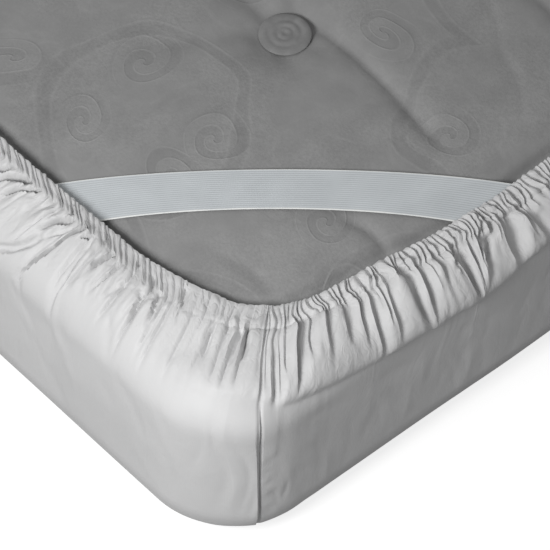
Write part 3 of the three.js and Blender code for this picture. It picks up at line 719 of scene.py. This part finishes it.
# Every value below with one number for each column is a column itself, and q is how far in a row lies from
# the hem's edge, as if the casing were casingWidth wide
def buildSheet():
    random = np.random.RandomState(sheet["seed"])
    edges = gatherEdges(random)
    x, share, gather = [values[:, None] for values in layColumns(edges)]
    length = wayLengthAt(x)
    _, isLong, isAway, s = hemSpot(x)
    away = np.where(isAway, 1.0, -1.0)
    signedX = signedFrom(x, 0)
    isFine = inFineStretch(signedX)

    # How much of a long side each column is; the two kinds of side run into each other at the corners
    longShare = 0.5 + np.where(isLong, 0.5, -0.5) * smoothStep(0, 40, s)
    plainRidge = mixSides(longShare, 6 + 3 * np.sin(signedX / 37), 46)
    ridgeAt = np.where(isFine, lerpTable(signedX, ridgeTable), plainRidge)
    for edge, plain in ((fineFrom, 46), (fineTo, 6)):
        ridgeAt = mixSides(bell(signedX, edge, 26), plain, ridgeAt)
    plainWidth = mixSides(longShare, sheet["casingLong"], sheet["casingShort"])
    width = np.where(isFine, lerpTable(signedX, casingWidths), plainWidth)
    rows = layRows(length, ridgeAt, width)
    q = length - rows
    q = np.where(q < width, q * casingWidth / width, q - width + casingWidth)
    drift = driftOf(rows, q, signedX, length - width, isLong, away, s)

    # What stands out from the mattress, and what goes in
    gathers = gatherRise(random, q, share, gather, signedX, edges)
    creases = sorted(mainCreases + smallCreases(random, edges))
    pleats = pleatRise(rows, q, signedX, ridgeAt, longShare, cutCreases(creases, x, rows, q))
    stitches = (0.8 + 1.4 * longShare) * lerpTable(q, stitchPull)
    wall, groove = wallRise(rows, s, isLong, signedX)
    puckers = [(seamHemPlace + 1.3, t, seamHemPlace + 1.3 + size, t + rise, depth, wide)
               for t, rise, size, depth, wide in seamPuckers]
    wrinkles = (pressStrokes(wallCreases + puckers, x, rows)
                + pressStrokes(strewWrinkles(random), x, rows, drift))
    wrinkles *= smoothStep(-wallHeight - 30, -wallHeight + 4, rows) * smoothStep(2, 16, q)
    folds = pressSlits(signedX + drift, rows) * smoothStep(0, 8, q)
    standing = pleats + gathers + wall + wrinkles + folds - groove - stitches

    angle = np.clip((rows + wallHeight + footArc) / footRadius, 0, math.pi / 2)
    footGap = floorGap + (wallGap - floorGap) * np.sin(angle)
    casingGap = mixSides(longShare, sheet["casingGapLong"], sheet["casingGapShort"])
    gap = wallGap + (casingGap - wallGap) * smoothStep(66, 24, q)
    gap = np.where(rows < -wallHeight, footGap, gap)
    liner = wallGap + (casingGap - wallGap) * smoothStep(18, 4, q) - 0.3
    out = np.maximum(gap + sheet["thickness"] + standing, np.minimum(gap, liner) + 0.5)

    # The folds lean over to one side
    sideways = drift + mixSides(longShare, sheet["leanLong"], sheet["leanShort"]) * away * pleats
    wander = np.sin(signedX / 8.3 + 2 * np.sin(signedX / 23)) * np.sin(q / 7 + signedX / 19)
    sideways += (1.5 + longShare) * wander * smoothStep(60, 20, q)
    scallop = (gathers[:, -8:-7] - 2.2) * 0.5 * smoothStep(9, 0, q)
    outer = clothPlace(x + sideways, rows + scallop, out)
    print("sheet columns", len(x), "rows", rows.shape[1])

    # The turned edge and the inner side, which lies smooth, each row as its x, t and lift
    inner = []
    for value in (1.2, 5, 9, 18, 42):
        isTurn = value < 2
        lift = wallGap + (casingGap - wallGap) * float(smoothStep(18, 4, value)) - 0.4
        inner.append((x + sideways[:, -1:] * (1 if isTurn else 1 - value / 42),
                      length - value + (scallop[:, -1:] if isTurn else 0), lift))
    for value in (30.0, 8.0, -4.0):
        inner.append((x, np.full_like(x, value), wallGap))
    for part in (1, 0.67, 0.33, 0):
        lift = floorGap + (wallGap - floorGap) * math.sin(part * math.pi / 2)
        inner.append((x, np.full_like(x, -wallHeight - footArc * (1 - part)), lift))
    points = np.concatenate([outer] + [clothPlace(*place) for place in inner], axis=1)
    along = np.concatenate([rows] + [2 * length - t for _, t, _ in inner], axis=1)
    crumple = 0.1 + 0.3 * smoothStep(-6, 8, rows - ridgeAt) + 0.6 * smoothStep(44, 22, q)
    crumple = np.concatenate([crumple, np.full((len(x), len(inner)), 0.2)], axis=1)
    return gridLoop("cotton sheet", points, x[:, 0], along, hemAround, crumple)


def moveVerts(verts, places):
    for vert, place in zip(verts, (places * mm).tolist()):
        vert.co = place


# A grid whose last column meets its first, its two open ends filled
def gridLoop(name, points, across, along, closing, crumple=None):
    columns, rows = points.shape[:2]

    # One number for each vertex of the grid, its first column once more at the end
    def flat(values, last=None):
        return np.concatenate([values, values[:1] if last is None else last]).T.reshape(-1)

    bm = bmesh.new()
    bmesh.ops.create_grid(bm, x_segments=columns, y_segments=rows - 1, size=1)
    moveVerts(bm.verts, np.stack([flat(points[..., k]) for k in range(3)], axis=1))
    acrossRows = np.repeat(across[:, None], rows, axis=1)
    uvs = np.stack([flat(acrossRows, np.full((1, rows), closing)), flat(along)], axis=1) * mm
    uvLayer = bm.loops.layers.uv.new("cloth")
    uvList = uvs.tolist()
    for face in bm.faces:
        for loop in face.loops:
            loop[uvLayer].uv = uvList[loop.vert.index]
    if crumple is not None:
        layer = bm.verts.layers.float.new("crumple")
        for vert, value in zip(bm.verts, flat(crumple).tolist()):
            vert[layer] = value
    bm.verts.ensure_lookup_table()
    stride = columns + 1
    ends = [bm.verts[r * stride + c] for r in range(rows) for c in (0, columns)]
    bmesh.ops.remove_doubles(bm, verts=ends, dist=1e-7)
    bmesh.ops.holes_fill(bm, edges=[edge for edge in bm.edges if edge.is_boundary], sides=0)
    bmesh.ops.recalc_face_normals(bm, faces=bm.faces)
    for edge in bm.edges:
        if edge.calc_face_angle(0) > math.radians(sheet["sharpFrom"]):
            edge.smooth = False
    return finish(name, bm)


def finish(name, bm, isSmooth=True):
    for face in bm.faces:
        face.smooth = isSmooth
    mesh = bpy.data.meshes.new(name)
    bm.to_mesh(mesh)
    bm.free()
    piece = bpy.data.objects.new(name.replace(" ", "_"), mesh)
    bpy.context.scene.collection.objects.link(piece)
    print(name, "faces", len(mesh.polygons))
    return piece


fittedSheet = buildSheet()
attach(fittedSheet, "root")
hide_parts("fitted_sheet")


# The mattress's buttons and the hollows that they pull into it
tuft = {
    "fromShortWall": 354.0,
    "fromLongWall": 317.0,
    "columns": 6,
    "radius": 25.0,
    "height": 6.5,
    "seatGap": 0.3,
    "hollowFloor": 25.6,
    "hollowCurve": 3.0,
    "hollowReach": 84.0,
    "hollowDepth": 12.0,
    "troughDepth": 3.0,
    "troughReach": 46.0,
}
tuftPitch = 2 * (halfLength - tuft["fromShortWall"]) / (tuft["columns"] - 1)
tuftX = tuft["fromShortWall"] - halfLength + np.arange(tuft["columns"]) * tuftPitch
tuftY = np.array([-1, 1]) * (halfWidth - tuft["fromLongWall"])

# Creases in the ticking, as distances in from the short and the long wall at both ends
tickingCreases = [
    # fromU, fromV, toU, toV, depth, reach
    (382, 318, 376, 136, 8.0, 10),
    (352, 350, 356, 520, 3.4, 12),
    (137, 160, 145, 96, 2.4, 8),
    (252, 112, 258, 66, 5.4, 7),
    (340, 306, 250, 250, 1.6, 12),
    (322, 340, 236, 396, 1.8, 12),
    (400, 322, 520, 338, 2.0, 13),
    (521, 236, 488, 166, 1.4, 4),
    (488, 166, 456, 100, 1.4, 4),
    (549, 226, 554, 150, 5.0, 9),
    (612, 250, 600, 90, 2.2, 13),
]

mattressLook = {
    "gridInset": 40.0,
    "fineStep": 4.0,
    "coarseStep": 10.0,
    "fineToU": 620.0,
    "fineToV": 520.0,
    "shoulderAngles": [75, 60, 45, 30, 15, 0],
    "footAngles": [67.5, 45, 22.5, 0],
    "hemPress": 6.0,
    "hemPressIn": 5.0,
    "hemPressReach": 6.0,
    "edgeStep": 2.0,
    "edgeTo": 104.0,
}


def topHeight(x, y):
    return upperSurface(x, y, 0)[..., 2]


def tuftedHeight(x, y):
    z = topHeight(x, y)
    span = tuft["hollowReach"] - tuft["hollowFloor"]
    for cx in tuftX:
        trough = np.exp(-(np.abs(x - cx) / tuft["troughReach"]) ** 1.5)
        inside = smoothStep(halfWidth - 60, halfWidth - 200, np.abs(y))
        z = z - tuft["troughDepth"] * trough * inside
        for cy in tuftY:
            r = np.hypot(x - cx, y - cy)
            turn = np.arctan2(y - cy, x - cx)
            bank = np.clip(1 - (r - tuft["hollowFloor"]) / span, 0, 1) ** tuft["hollowCurve"]
            pulls = 1.1 * np.cos(7 * turn + cx / 90) * bank * (1 - bank) * 4
            seat = float(topHeight(cx, cy)) - tuft["hollowDepth"]
            z = np.minimum(z, z * (1 - bank) + seat * bank + pulls * (r > tuft["hollowFloor"]))
            z = np.where(r < tuft["hollowFloor"] + 0.5, seat, z)
    return z


# The trough that the hem's elastic presses into the ticking, just inside its edge
def hemPressed(x, y):
    radius = sheet["hemCornerRadius"]
    u = halfLength - np.abs(x) - sheet["hemInShortSide"]
    v = halfWidth - np.abs(y) - sheet["hemInLongSide"]
    inCorner = (u < radius) & (v < radius)
    d, _, _ = wallDistance(u, v, radius)
    turn = np.arctan2(radius - v, radius - u) - math.pi / 4
    isLong = np.where(inCorner, turn > 0, v < u)
    away = np.where(isLong, u, v) - radius
    s = np.where(inCorner, radius * np.abs(turn), radius * math.pi / 4 + away)
    isFirst = (x < 0) & (y < 0)
    d = d - isFirst * lerpTable(np.where(isLong, s, -s), hemLine)
    return mattressLook["hemPress"] * bell(d, mattressLook["hemPressIn"], mattressLook["hemPressReach"])


# How deep the ticking's own creases are; each bends a little to one side halfway
def creaseDip(x, y):
    u = halfLength + x
    v = halfWidth + y
    dip = np.zeros_like(x)
    for fromU, fromV, toU, toV, depth, reach in tickingCreases:
        along = np.array([toU - fromU, toV - fromV], float)
        size = np.hypot(*along)
        along /= size
        a = (u - fromU) * along[0] + (v - fromV) * along[1]
        bend = 6 * np.sin(np.clip(a / size, 0, 1) * math.pi)
        d = np.abs((u - fromU) * along[1] - (v - fromV) * along[0] + bend)
        ends = smoothStep(-30, 20, a) * smoothStep(size + 34, size - 20, a)
        dip = dip + depth * np.exp(-(d / reach) ** 1.2) * ends
    return dip


# The ticking's grid along one side, close together at the near wall and wider apart towards the far one
def gridLines(half, fineTo):
    inset = mattressLook["gridInset"]
    edge = np.arange(inset, mattressLook["edgeTo"], mattressLook["edgeStep"])
    fine = np.concatenate([edge, np.arange(mattressLook["edgeTo"], fineTo, mattressLook["fineStep"])]) - half
    count = round((half - inset - fine[-1]) / mattressLook["coarseStep"])
    return np.concatenate([fine, np.linspace(fine[-1], half - inset, count + 1)[1:]])


def buildMattress():
    xs = gridLines(halfLength, mattressLook["fineToU"])
    ys = gridLines(halfWidth, mattressLook["fineToV"])
    x, y = np.meshgrid(xs, ys)
    # The grid's corners are rounded by drawing them in along the diagonals
    radius = cornerRadius - mattressLook["gridInset"]
    pastX = np.abs(x) - (xs[-1] - radius)
    pastY = np.abs(y) - (ys[-1] - radius)
    inCorner = (pastX > 0) & (pastY > 0)
    far = np.maximum(pastX, pastY) / np.maximum(np.hypot(pastX, pastY), 1e-6)
    x = np.where(inCorner, np.sign(x) * (xs[-1] - radius + pastX * far), x)
    y = np.where(inCorner, np.sign(y) * (ys[-1] - radius + pastY * far), y)
    z = tuftedHeight(x, y)
    z = z - creaseDip(x, y) - hemPressed(x, y)
    z = z + 0.5 * np.sin(x / 61 + np.sin(y / 47)) * np.cos(y / 53 + np.sin(x / 71))
    bm = bmesh.new()
    bmesh.ops.create_grid(bm, x_segments=len(xs) - 1, y_segments=len(ys) - 1, size=1)
    moveVerts(bm.verts, np.stack([x, y, z], axis=-1).reshape(-1, 3))
    # Each ring of the side below: how far in, and how high unless it lies on the upper surface
    rings = [(mattress["shoulderIn"] * (1 - math.cos(turn)), None)
             for turn in np.radians(mattressLook["shoulderAngles"])]
    rings += [(0, topOfFoot + wallHeight / 2), (0, topOfFoot)]
    rings += [(footRadius * (1 - math.sin(turn)), topOfFoot - footRadius * math.cos(turn))
              for turn in np.radians(mattressLook["footAngles"])]
    rim = [edge for edge in bm.edges if edge.is_boundary]
    wasInset = mattressLook["gridInset"]
    for inset, height in rings:
        made = bmesh.ops.extrude_edge_only(bm, edges=rim)
        verts = [item for item in made["geom"] if isinstance(item, bmesh.types.BMVert)]
        at = np.array([vert.co[:] for vert in verts]) / mm
        signX, signY = np.sign(at[:, 0]), np.sign(at[:, 1])
        u = halfLength - np.abs(at[:, 0])
        v = halfWidth - np.abs(at[:, 1])
        _, outU, outV = wallDistance(u, v)
        at[:, 0] = signX * (halfLength - u - outU * (wasInset - inset))
        at[:, 1] = signY * (halfWidth - v - outV * (wasInset - inset))
        at[:, 2] = topHeight(at[:, 0], at[:, 1]) if height is None else height
        moveVerts(verts, at)
        rim = [item for item in made["geom"] if isinstance(item, bmesh.types.BMEdge)]
        wasInset = inset
    bmesh.ops.edgeloop_fill(bm, edges=rim)
    bmesh.ops.recalc_face_normals(bm, faces=bm.faces)
    return finish("mattress with ticking", bm)


tickedMattress = buildMattress()
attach(tickedMattress, "root")
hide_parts("mattress")


button = {
    "steps": 64,
    # out from the middle and up, as shares of the radius and the height
    "profile": [
        (0, 0), (0.95, 0), (0.99, 0.03), (1, 0.08), (0.985, 0.16), (0.95, 0.24), (0.9, 0.31), (0.84, 0.36),
        (0.77, 0.37), (0.7, 0.33), (0.65, 0.29), (0.6, 0.31), (0.55, 0.38), (0.5, 0.45), (0.45, 0.47),
        (0.4, 0.45), (0.35, 0.4), (0.31, 0.37), (0.27, 0.4), (0.22, 0.46), (0.17, 0.48), (0.12, 0.46),
        (0.08, 0.4), (0.04, 0.36), (0, 0.35),
    ],
}


def buildButton(number, x, y):
    bm = bmesh.new()
    seat = float(topHeight(x, y)) - tuft["hollowDepth"] + tuft["seatGap"]
    verts = []
    for out, up in button["profile"]:
        verts.append(bm.verts.new(Vector((x + out * tuft["radius"], y, seat + up * tuft["height"])) * mm))
    edges = [bm.edges.new(pair) for pair in zip(verts, verts[1:])]
    bmesh.ops.spin(bm, geom=verts + edges, cent=Vector((x, y, 0)) * mm, axis=(0, 0, 1),
                   angle=2 * math.pi, steps=button["steps"], use_merge=True)
    bmesh.ops.remove_doubles(bm, verts=bm.verts, dist=1e-6)
    bmesh.ops.recalc_face_normals(bm, faces=bm.faces)
    return finish(f"button {number}", bm)


buttons = []
for row, y in enumerate(tuftY):
    for column, x in enumerate(tuftX):
        number = row * tuft["columns"] + column + 1
        piece = buildButton(number, float(x), float(y))
        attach(piece, "root")
        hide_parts(f"tuft_button_{number}")
        buttons.append(piece)


# The elastic straps, one across each corner
strap = {
    "width": 45.0,
    "shortSideIn": 81.0,
    "shortSideCross": 286.0,
    "longSideCross": 355.0,
    "underShortHem": 18.0,
    "underLongHem": 16.0,
    "bow": 12.0,
    "lift": 1.7,
    "thickness": 0.75,
    "ribs": 20,
    "ribHeight": 0.3,
    "selvedge": 1.5,
    "clothLength": 320.0,  # of its pattern, along it
    "steps": 60,
    "lanes": 100,
}


def buildStrap(number, signX, signY):
    start = np.array([strap["shortSideIn"], strap["shortSideCross"]])
    end = np.array([strap["longSideCross"], sheet["hemInLongSide"]])
    along = (end - start) / np.linalg.norm(end - start)
    across = np.array([-along[1], along[0]])
    startU = strap["shortSideIn"] - strap["underShortHem"]
    endV = sheet["hemInLongSide"] - strap["underLongHem"]
    w = np.linspace(-0.5, 0.5, strap["lanes"] + 1) * strap["width"]
    edge = strap["width"] / 2 - np.abs(w)
    ribs = np.sin(w / strap["width"] * strap["ribs"] * math.pi) ** 2
    ribs = strap["ribHeight"] * np.where(edge < strap["selvedge"], 0.9, ribs)
    top = np.where(edge < 0.3, strap["lift"] + 0.5, strap["lift"] + strap["thickness"] + ribs)
    w = np.concatenate([w, np.linspace(0.5, -0.5, 9)[1:-1] * strap["width"]])
    lift = np.concatenate([top, np.full(7, strap["lift"])])
    first = (startU - start[0] - w * across[0]) / along[0]
    last = (endV - start[1] - w * across[1]) / along[1]
    points = []
    for share in np.linspace(0, 1, strap["steps"] + 1):
        reach = first + (last - first) * share
        side = w + strap["bow"] * (4 * share * (1 - share)) ** 0.8
        u = start[0] + along[0] * reach + across[0] * side
        v = start[1] + along[1] * reach + across[1] * side
        points.append(upperSurface(signX * (halfLength - u), signY * (halfWidth - v), lift))
    length = np.linspace(0, 1, strap["steps"] + 1)[None, :] * strap["clothLength"]
    return gridLoop(f"strap {number}", np.stack(points, axis=1), w, np.repeat(length, len(w), axis=0), w[0])


straps = []
for number, (signX, signY) in enumerate(cornerSigns, start=1):
    piece = buildStrap(number, signX, signY)
    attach(piece, "root")
    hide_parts(f"corner_strap_{number}")
    straps.append(piece)
print("pieces built")


# A value in a material's nodes: sums and the calls below add the nodes that work on it
class NodeValue:
    def __init__(self, socket):
        self.socket = socket

    def feed(self, entry, value):
        if isinstance(value, NodeValue):
            self.socket.id_data.links.new(value.socket, entry)
        else:
            entry.default_value = value

    def follow(self, kind, entry=0, **values):
        node = self.socket.id_data.nodes.new(kind)
        for name, value in values.items():
            node.inputs[name].default_value = value
        self.feed(node.inputs[entry], self)
        return node

    def calc(self, operation, *others, kind="ShaderNodeMath"):
        node = self.follow(kind)
        node.operation = operation
        for entry, other in zip(node.inputs[1:], others):
            self.feed(entry, other)
        return NodeValue(node.outputs[0])

    def __add__(self, other):
        return self.calc("ADD", other)

    def __sub__(self, other):
        return self.calc("SUBTRACT", other)

    def __mul__(self, other):
        return self.calc("MULTIPLY", other)

    def __abs__(self):
        return self.calc("ABSOLUTE")

    def ramp(self, *stops):
        node = self.follow("ShaderNodeValToRGB")
        ramp = node.color_ramp
        while len(ramp.elements) < len(stops):
            ramp.elements.new(0.5)
        for element, (at, tone) in zip(ramp.elements, stops):
            element.position = at
            element.color = (*tone, 1) if isinstance(tone, tuple) else (tone, tone, tone, 1)
        return NodeValue(node.outputs[0])

    def noise(self, scale, detail=3.0, roughness=0.5, distortion=0.0, outlet="Fac"):
        node = self.follow("ShaderNodeTexNoise", "Vector", Scale=scale, Detail=detail, Roughness=roughness,
                           Distortion=distortion)
        return NodeValue(node.outputs[outlet])

    def wave(self, direction, scale, distortion=0.0):
        node = self.follow("ShaderNodeTexWave", "Vector", Scale=scale, Distortion=distortion)
        node.bands_direction = direction
        return NodeValue(node.outputs["Fac"])

    def cells(self, scale, randomness=1.0):
        node = self.follow("ShaderNodeTexVoronoi", "Vector", Scale=scale, Randomness=randomness)
        node.voronoi_dimensions = "2D"
        return node.outputs

    def bump(self, distance, strength, before=None):
        node = self.follow("ShaderNodeBump", "Height", Distance=distance, Strength=strength)
        if before is not None:
            self.feed(node.inputs["Normal"], before)
        return NodeValue(node.outputs[0])


def newMaterial(name, values):
    material = bpy.data.materials.new(name)
    material.use_nodes = True
    shader = material.node_tree.nodes["Principled BSDF"]
    for socket, value in values.items():
        shader.inputs[socket].default_value = value
    return material


def startNode(material, kind, outlet, **settings):
    node = material.node_tree.nodes.new(kind)
    for name, value in settings.items():
        setattr(node, name, value)
    return NodeValue(node.outputs[outlet])


def plugIn(material, values):
    shader = material.node_tree.nodes["Principled BSDF"]
    for socket, value in values.items():
        value.feed(shader.inputs[socket], value)
    return material


def cottonMaterial():
    material = newMaterial("sheet cotton", {
        "Roughness": 0.5, "Specular IOR Level": 0.22, "Sheen Weight": 0.14, "Sheen Roughness": 0.45})
    uv = startNode(material, "ShaderNodeUVMap", 0, uv_map="cloth")
    colour = uv.noise(9).ramp((0.3, (0.455, 0.455, 0.457)), (0.7, (0.495, 0.495, 0.497)))
    normal = (uv.wave("X", 420) + uv.wave("Y", 640)).bump(0.00006, 0.25)
    crumple = startNode(material, "ShaderNodeAttribute", "Fac", attribute_name="crumple")
    for across, along, height in ((210, 95, 0.003), (70, 34, 0.0042)):
        creased = NodeValue(uv.follow("ShaderNodeMapping", "Vector", Scale=(across, along, 1)).outputs[0])
        ridges = abs(creased.noise(1, 0, 0.5, 1.0) - 0.5)
        normal = (ridges * crumple).bump(height, 0.6, normal)
    return plugIn(material, {"Base Color": colour, "Normal": normal})


def tickingMaterial():
    material = newMaterial("mattress ticking", {
        "Roughness": 0.62, "Specular IOR Level": 0.25, "Sheen Weight": 0.12, "Sheen Roughness": 0.5})
    position = startNode(material, "ShaderNodeTexCoord", "Object")
    vector = "ShaderNodeVectorMath"
    # Scrolls and rosettes, each in polar coordinates round its own cell's middle, drawn a little uneven
    uneven = position.noise(9, 1, outlet="Color")
    swing = uneven.calc("MULTIPLY_ADD", (0.055, 0.055, 0), position, kind=vector)
    cells = swing.cells(8.0, 0.85)
    local = swing.calc("SUBTRACT", NodeValue(cells["Position"]), kind=vector)
    x, y, _ = [NodeValue(outlet) for outlet in local.follow("ShaderNodeSeparateXYZ").outputs]
    own = NodeValue(cells["Color"]).follow("ShaderNodeSeparateColor").outputs
    red, green, blue = [NodeValue(own[name]) for name in ("Red", "Green", "Blue")]
    out = (x.calc("POWER", 2.0) + y.calc("POWER", 2.0)).calc("SQRT")
    angle = y.calc("ARCTAN2", x)
    # Each scroll turns one way or the other, and has one to three turns
    hand = (red - 0.5).calc("SIGN")
    spiral = (out * (green * 140.0 + 190.0) + angle * hand).calc("SINE")
    band = spiral.ramp((0.12, 0), (0.5, 1))
    rim = abs(spiral).ramp((0.0, 1), (0.3, 0))
    inside = (out * 10.0).ramp((0.27, 1), (0.36, 0))
    # The scalloped edge of each, of six to ten lobes
    lobes = (blue * 4.9).calc("FLOOR") + 6.0
    petals = abs((angle * lobes * 0.5).calc("SINE"))
    ring = abs(out - (petals * 0.009 + (green * 0.012 + 0.036)))
    ringLine = (ring * 100.0).ramp((0.0, 0.7), (0.5, 0))
    # Wide arcs, and stems between them that break off here and there
    arcOff = abs(NodeValue(swing.cells(3.4)["Distance"]) - 0.34) * 10.0
    arc = arcOff.ramp((0.12, 1), (0.28, 0))
    arcRim = abs(arcOff - 0.26).ramp((0.0, 0.8), (0.08, 0))
    stems = position.wave("DIAGONAL", 7, 9.0).ramp((0.25, 0), (0.5, 0.6), (0.75, 0))
    outside = (out * 10.0).ramp((0.48, 0), (0.62, 1))
    broken = position.noise(34, 1).ramp((0.42, 0), (0.6, 1))
    light = rim * inside + (ringLine + (stems * outside * broken + arcRim))
    dark = band * inside + arc
    worn = position.noise(60, 2).ramp((0.35, 0.3), (0.6, 1))
    pattern = light * worn * 0.13 - dark * 0.14
    # The ground between is woven with a fine grain, stronger in some places
    grain = (position.noise(330, 2, 0.7) - 0.5) * position.noise(13, 1).ramp((0.4, 0.25), (0.6, 1))
    mottle = position.noise(26, 4)
    tone = mottle * 0.8 + (pattern + grain * 0.7)
    colour = tone.ramp((0.0, 0.165), (0.8, (0.262, 0.262, 0.261)))
    normal = position.noise(900, 2).bump(0.0002, 0.25)
    for height, distance, strength in ((pattern, 0.0035, 0.5), (grain, 0.0012, 0.4), (mottle, 0.004, 0.25)):
        normal = height.bump(distance, strength, normal)
    return plugIn(material, {"Base Color": colour, "Normal": normal})


def elasticMaterial():
    material = newMaterial("strap elastic", {
        "Roughness": 0.42, "Specular IOR Level": 0.45, "Sheen Weight": 0.2})
    uv = startNode(material, "ShaderNodeUVMap", 0, uv_map="cloth")
    across = NodeValue(uv.follow("ShaderNodeSeparateXYZ").outputs["X"])
    selvedge = (abs(across) * 30.0).ramp((0.62, 0), (0.645, 0.5))
    colour = (uv.noise(30) * 0.8 + selvedge).ramp(
        (0.2, (0.395, 0.418, 0.433)), (0.6, (0.45, 0.476, 0.492)), (0.9, (0.62, 0.63, 0.62)))
    return plugIn(material, {"Base Color": colour, "Normal": uv.wave("Y", 260).bump(0.0001, 0.3)})


def buttonMaterial():
    material = newMaterial("button felt", {
        "Roughness": 0.7, "Specular IOR Level": 0.25, "Sheen Weight": 0.15})
    position = startNode(material, "ShaderNodeTexCoord", "Object")
    colour = position.noise(90).ramp((0.3, 0.155), (0.7, 0.2))
    return plugIn(material, {"Base Color": colour, "Normal": position.noise(700, 2).bump(0.0003, 0.35)})


fittedSheet.data.materials.append(cottonMaterial())
tickedMattress.data.materials.append(tickingMaterial())
elastic = elasticMaterial()
for piece in straps:
    piece.data.materials.append(elastic)
felt = buttonMaterial()
for piece in buttons:
    piece.data.materials.append(felt)
print("materials made")


studio = {
    "floorSize": 14.0,
    "floorGlow": 0.78,  # seen by the camera alone
    "worldStrength": 0.46,
    "keyFrom": (-0.765, -0.16, 0.63),
    "keyAway": 1.4,
    "keySize": 0.6,
    "keyPower": 20.2,
    "aim": (-0.837, -0.337, 0.2),
    "cameraBack": (-0.4055, -0.4632, 0.788),
    "viewWidth": 0.506,
    "lens": 1200.0,
}


def buildFloor():
    bm = bmesh.new()
    bmesh.ops.create_grid(bm, x_segments=1, y_segments=1, size=studio["floorSize"] / 2)
    floor = finish("floor", bm, False)
    material = newMaterial("floor paper", {
        "Roughness": 0.9, "Base Color": (0.3, 0.3, 0.3, 1), "Specular IOR Level": 0.1,
        "Emission Color": (1, 1, 1, 1)})
    glow = startNode(material, "ShaderNodeLightPath", "Is Camera Ray") * studio["floorGlow"]
    position = startNode(material, "ShaderNodeTexCoord", "Object")
    plugIn(material, {"Emission Strength": glow, "Normal": position.noise(300, 2).bump(0.0002, 0.1)})
    floor.data.materials.append(material)


# A lamp or camera that looks back at the aim
def placeAimed(name, data, back, away):
    thing = bpy.data.objects.new(name, data)
    back = Vector(back).normalized()
    thing.location = Vector(studio["aim"]) + back * away
    thing.rotation_euler = back.to_track_quat("Z", "Y").to_euler()
    bpy.context.scene.collection.objects.link(thing)
    return thing


def lightStudio():
    world = bpy.data.worlds.new("studio")
    world.use_nodes = True
    background = world.node_tree.nodes["Background"]
    background.inputs["Color"].default_value = (1, 1, 1, 1)
    background.inputs["Strength"].default_value = studio["worldStrength"]
    bpy.context.scene.world = world
    key = bpy.data.lights.new("key", "AREA")
    key.shape = "DISK"
    key.size = studio["keySize"]
    key.energy = studio["keyPower"]
    placeAimed("key", key, studio["keyFrom"], studio["keyAway"])


def setCamera():
    data = bpy.data.cameras.new("camera")
    data.lens = studio["lens"]
    data.sensor_width = 36
    away = studio["viewWidth"] * studio["lens"] / data.sensor_width
    data.clip_end = away * 20
    bpy.context.scene.camera = placeAimed("camera", data, studio["cameraBack"], away)


buildFloor()
lightStudio()
setCamera()
bpy.context.scene.view_settings.view_transform = "Standard"
print("studio set")
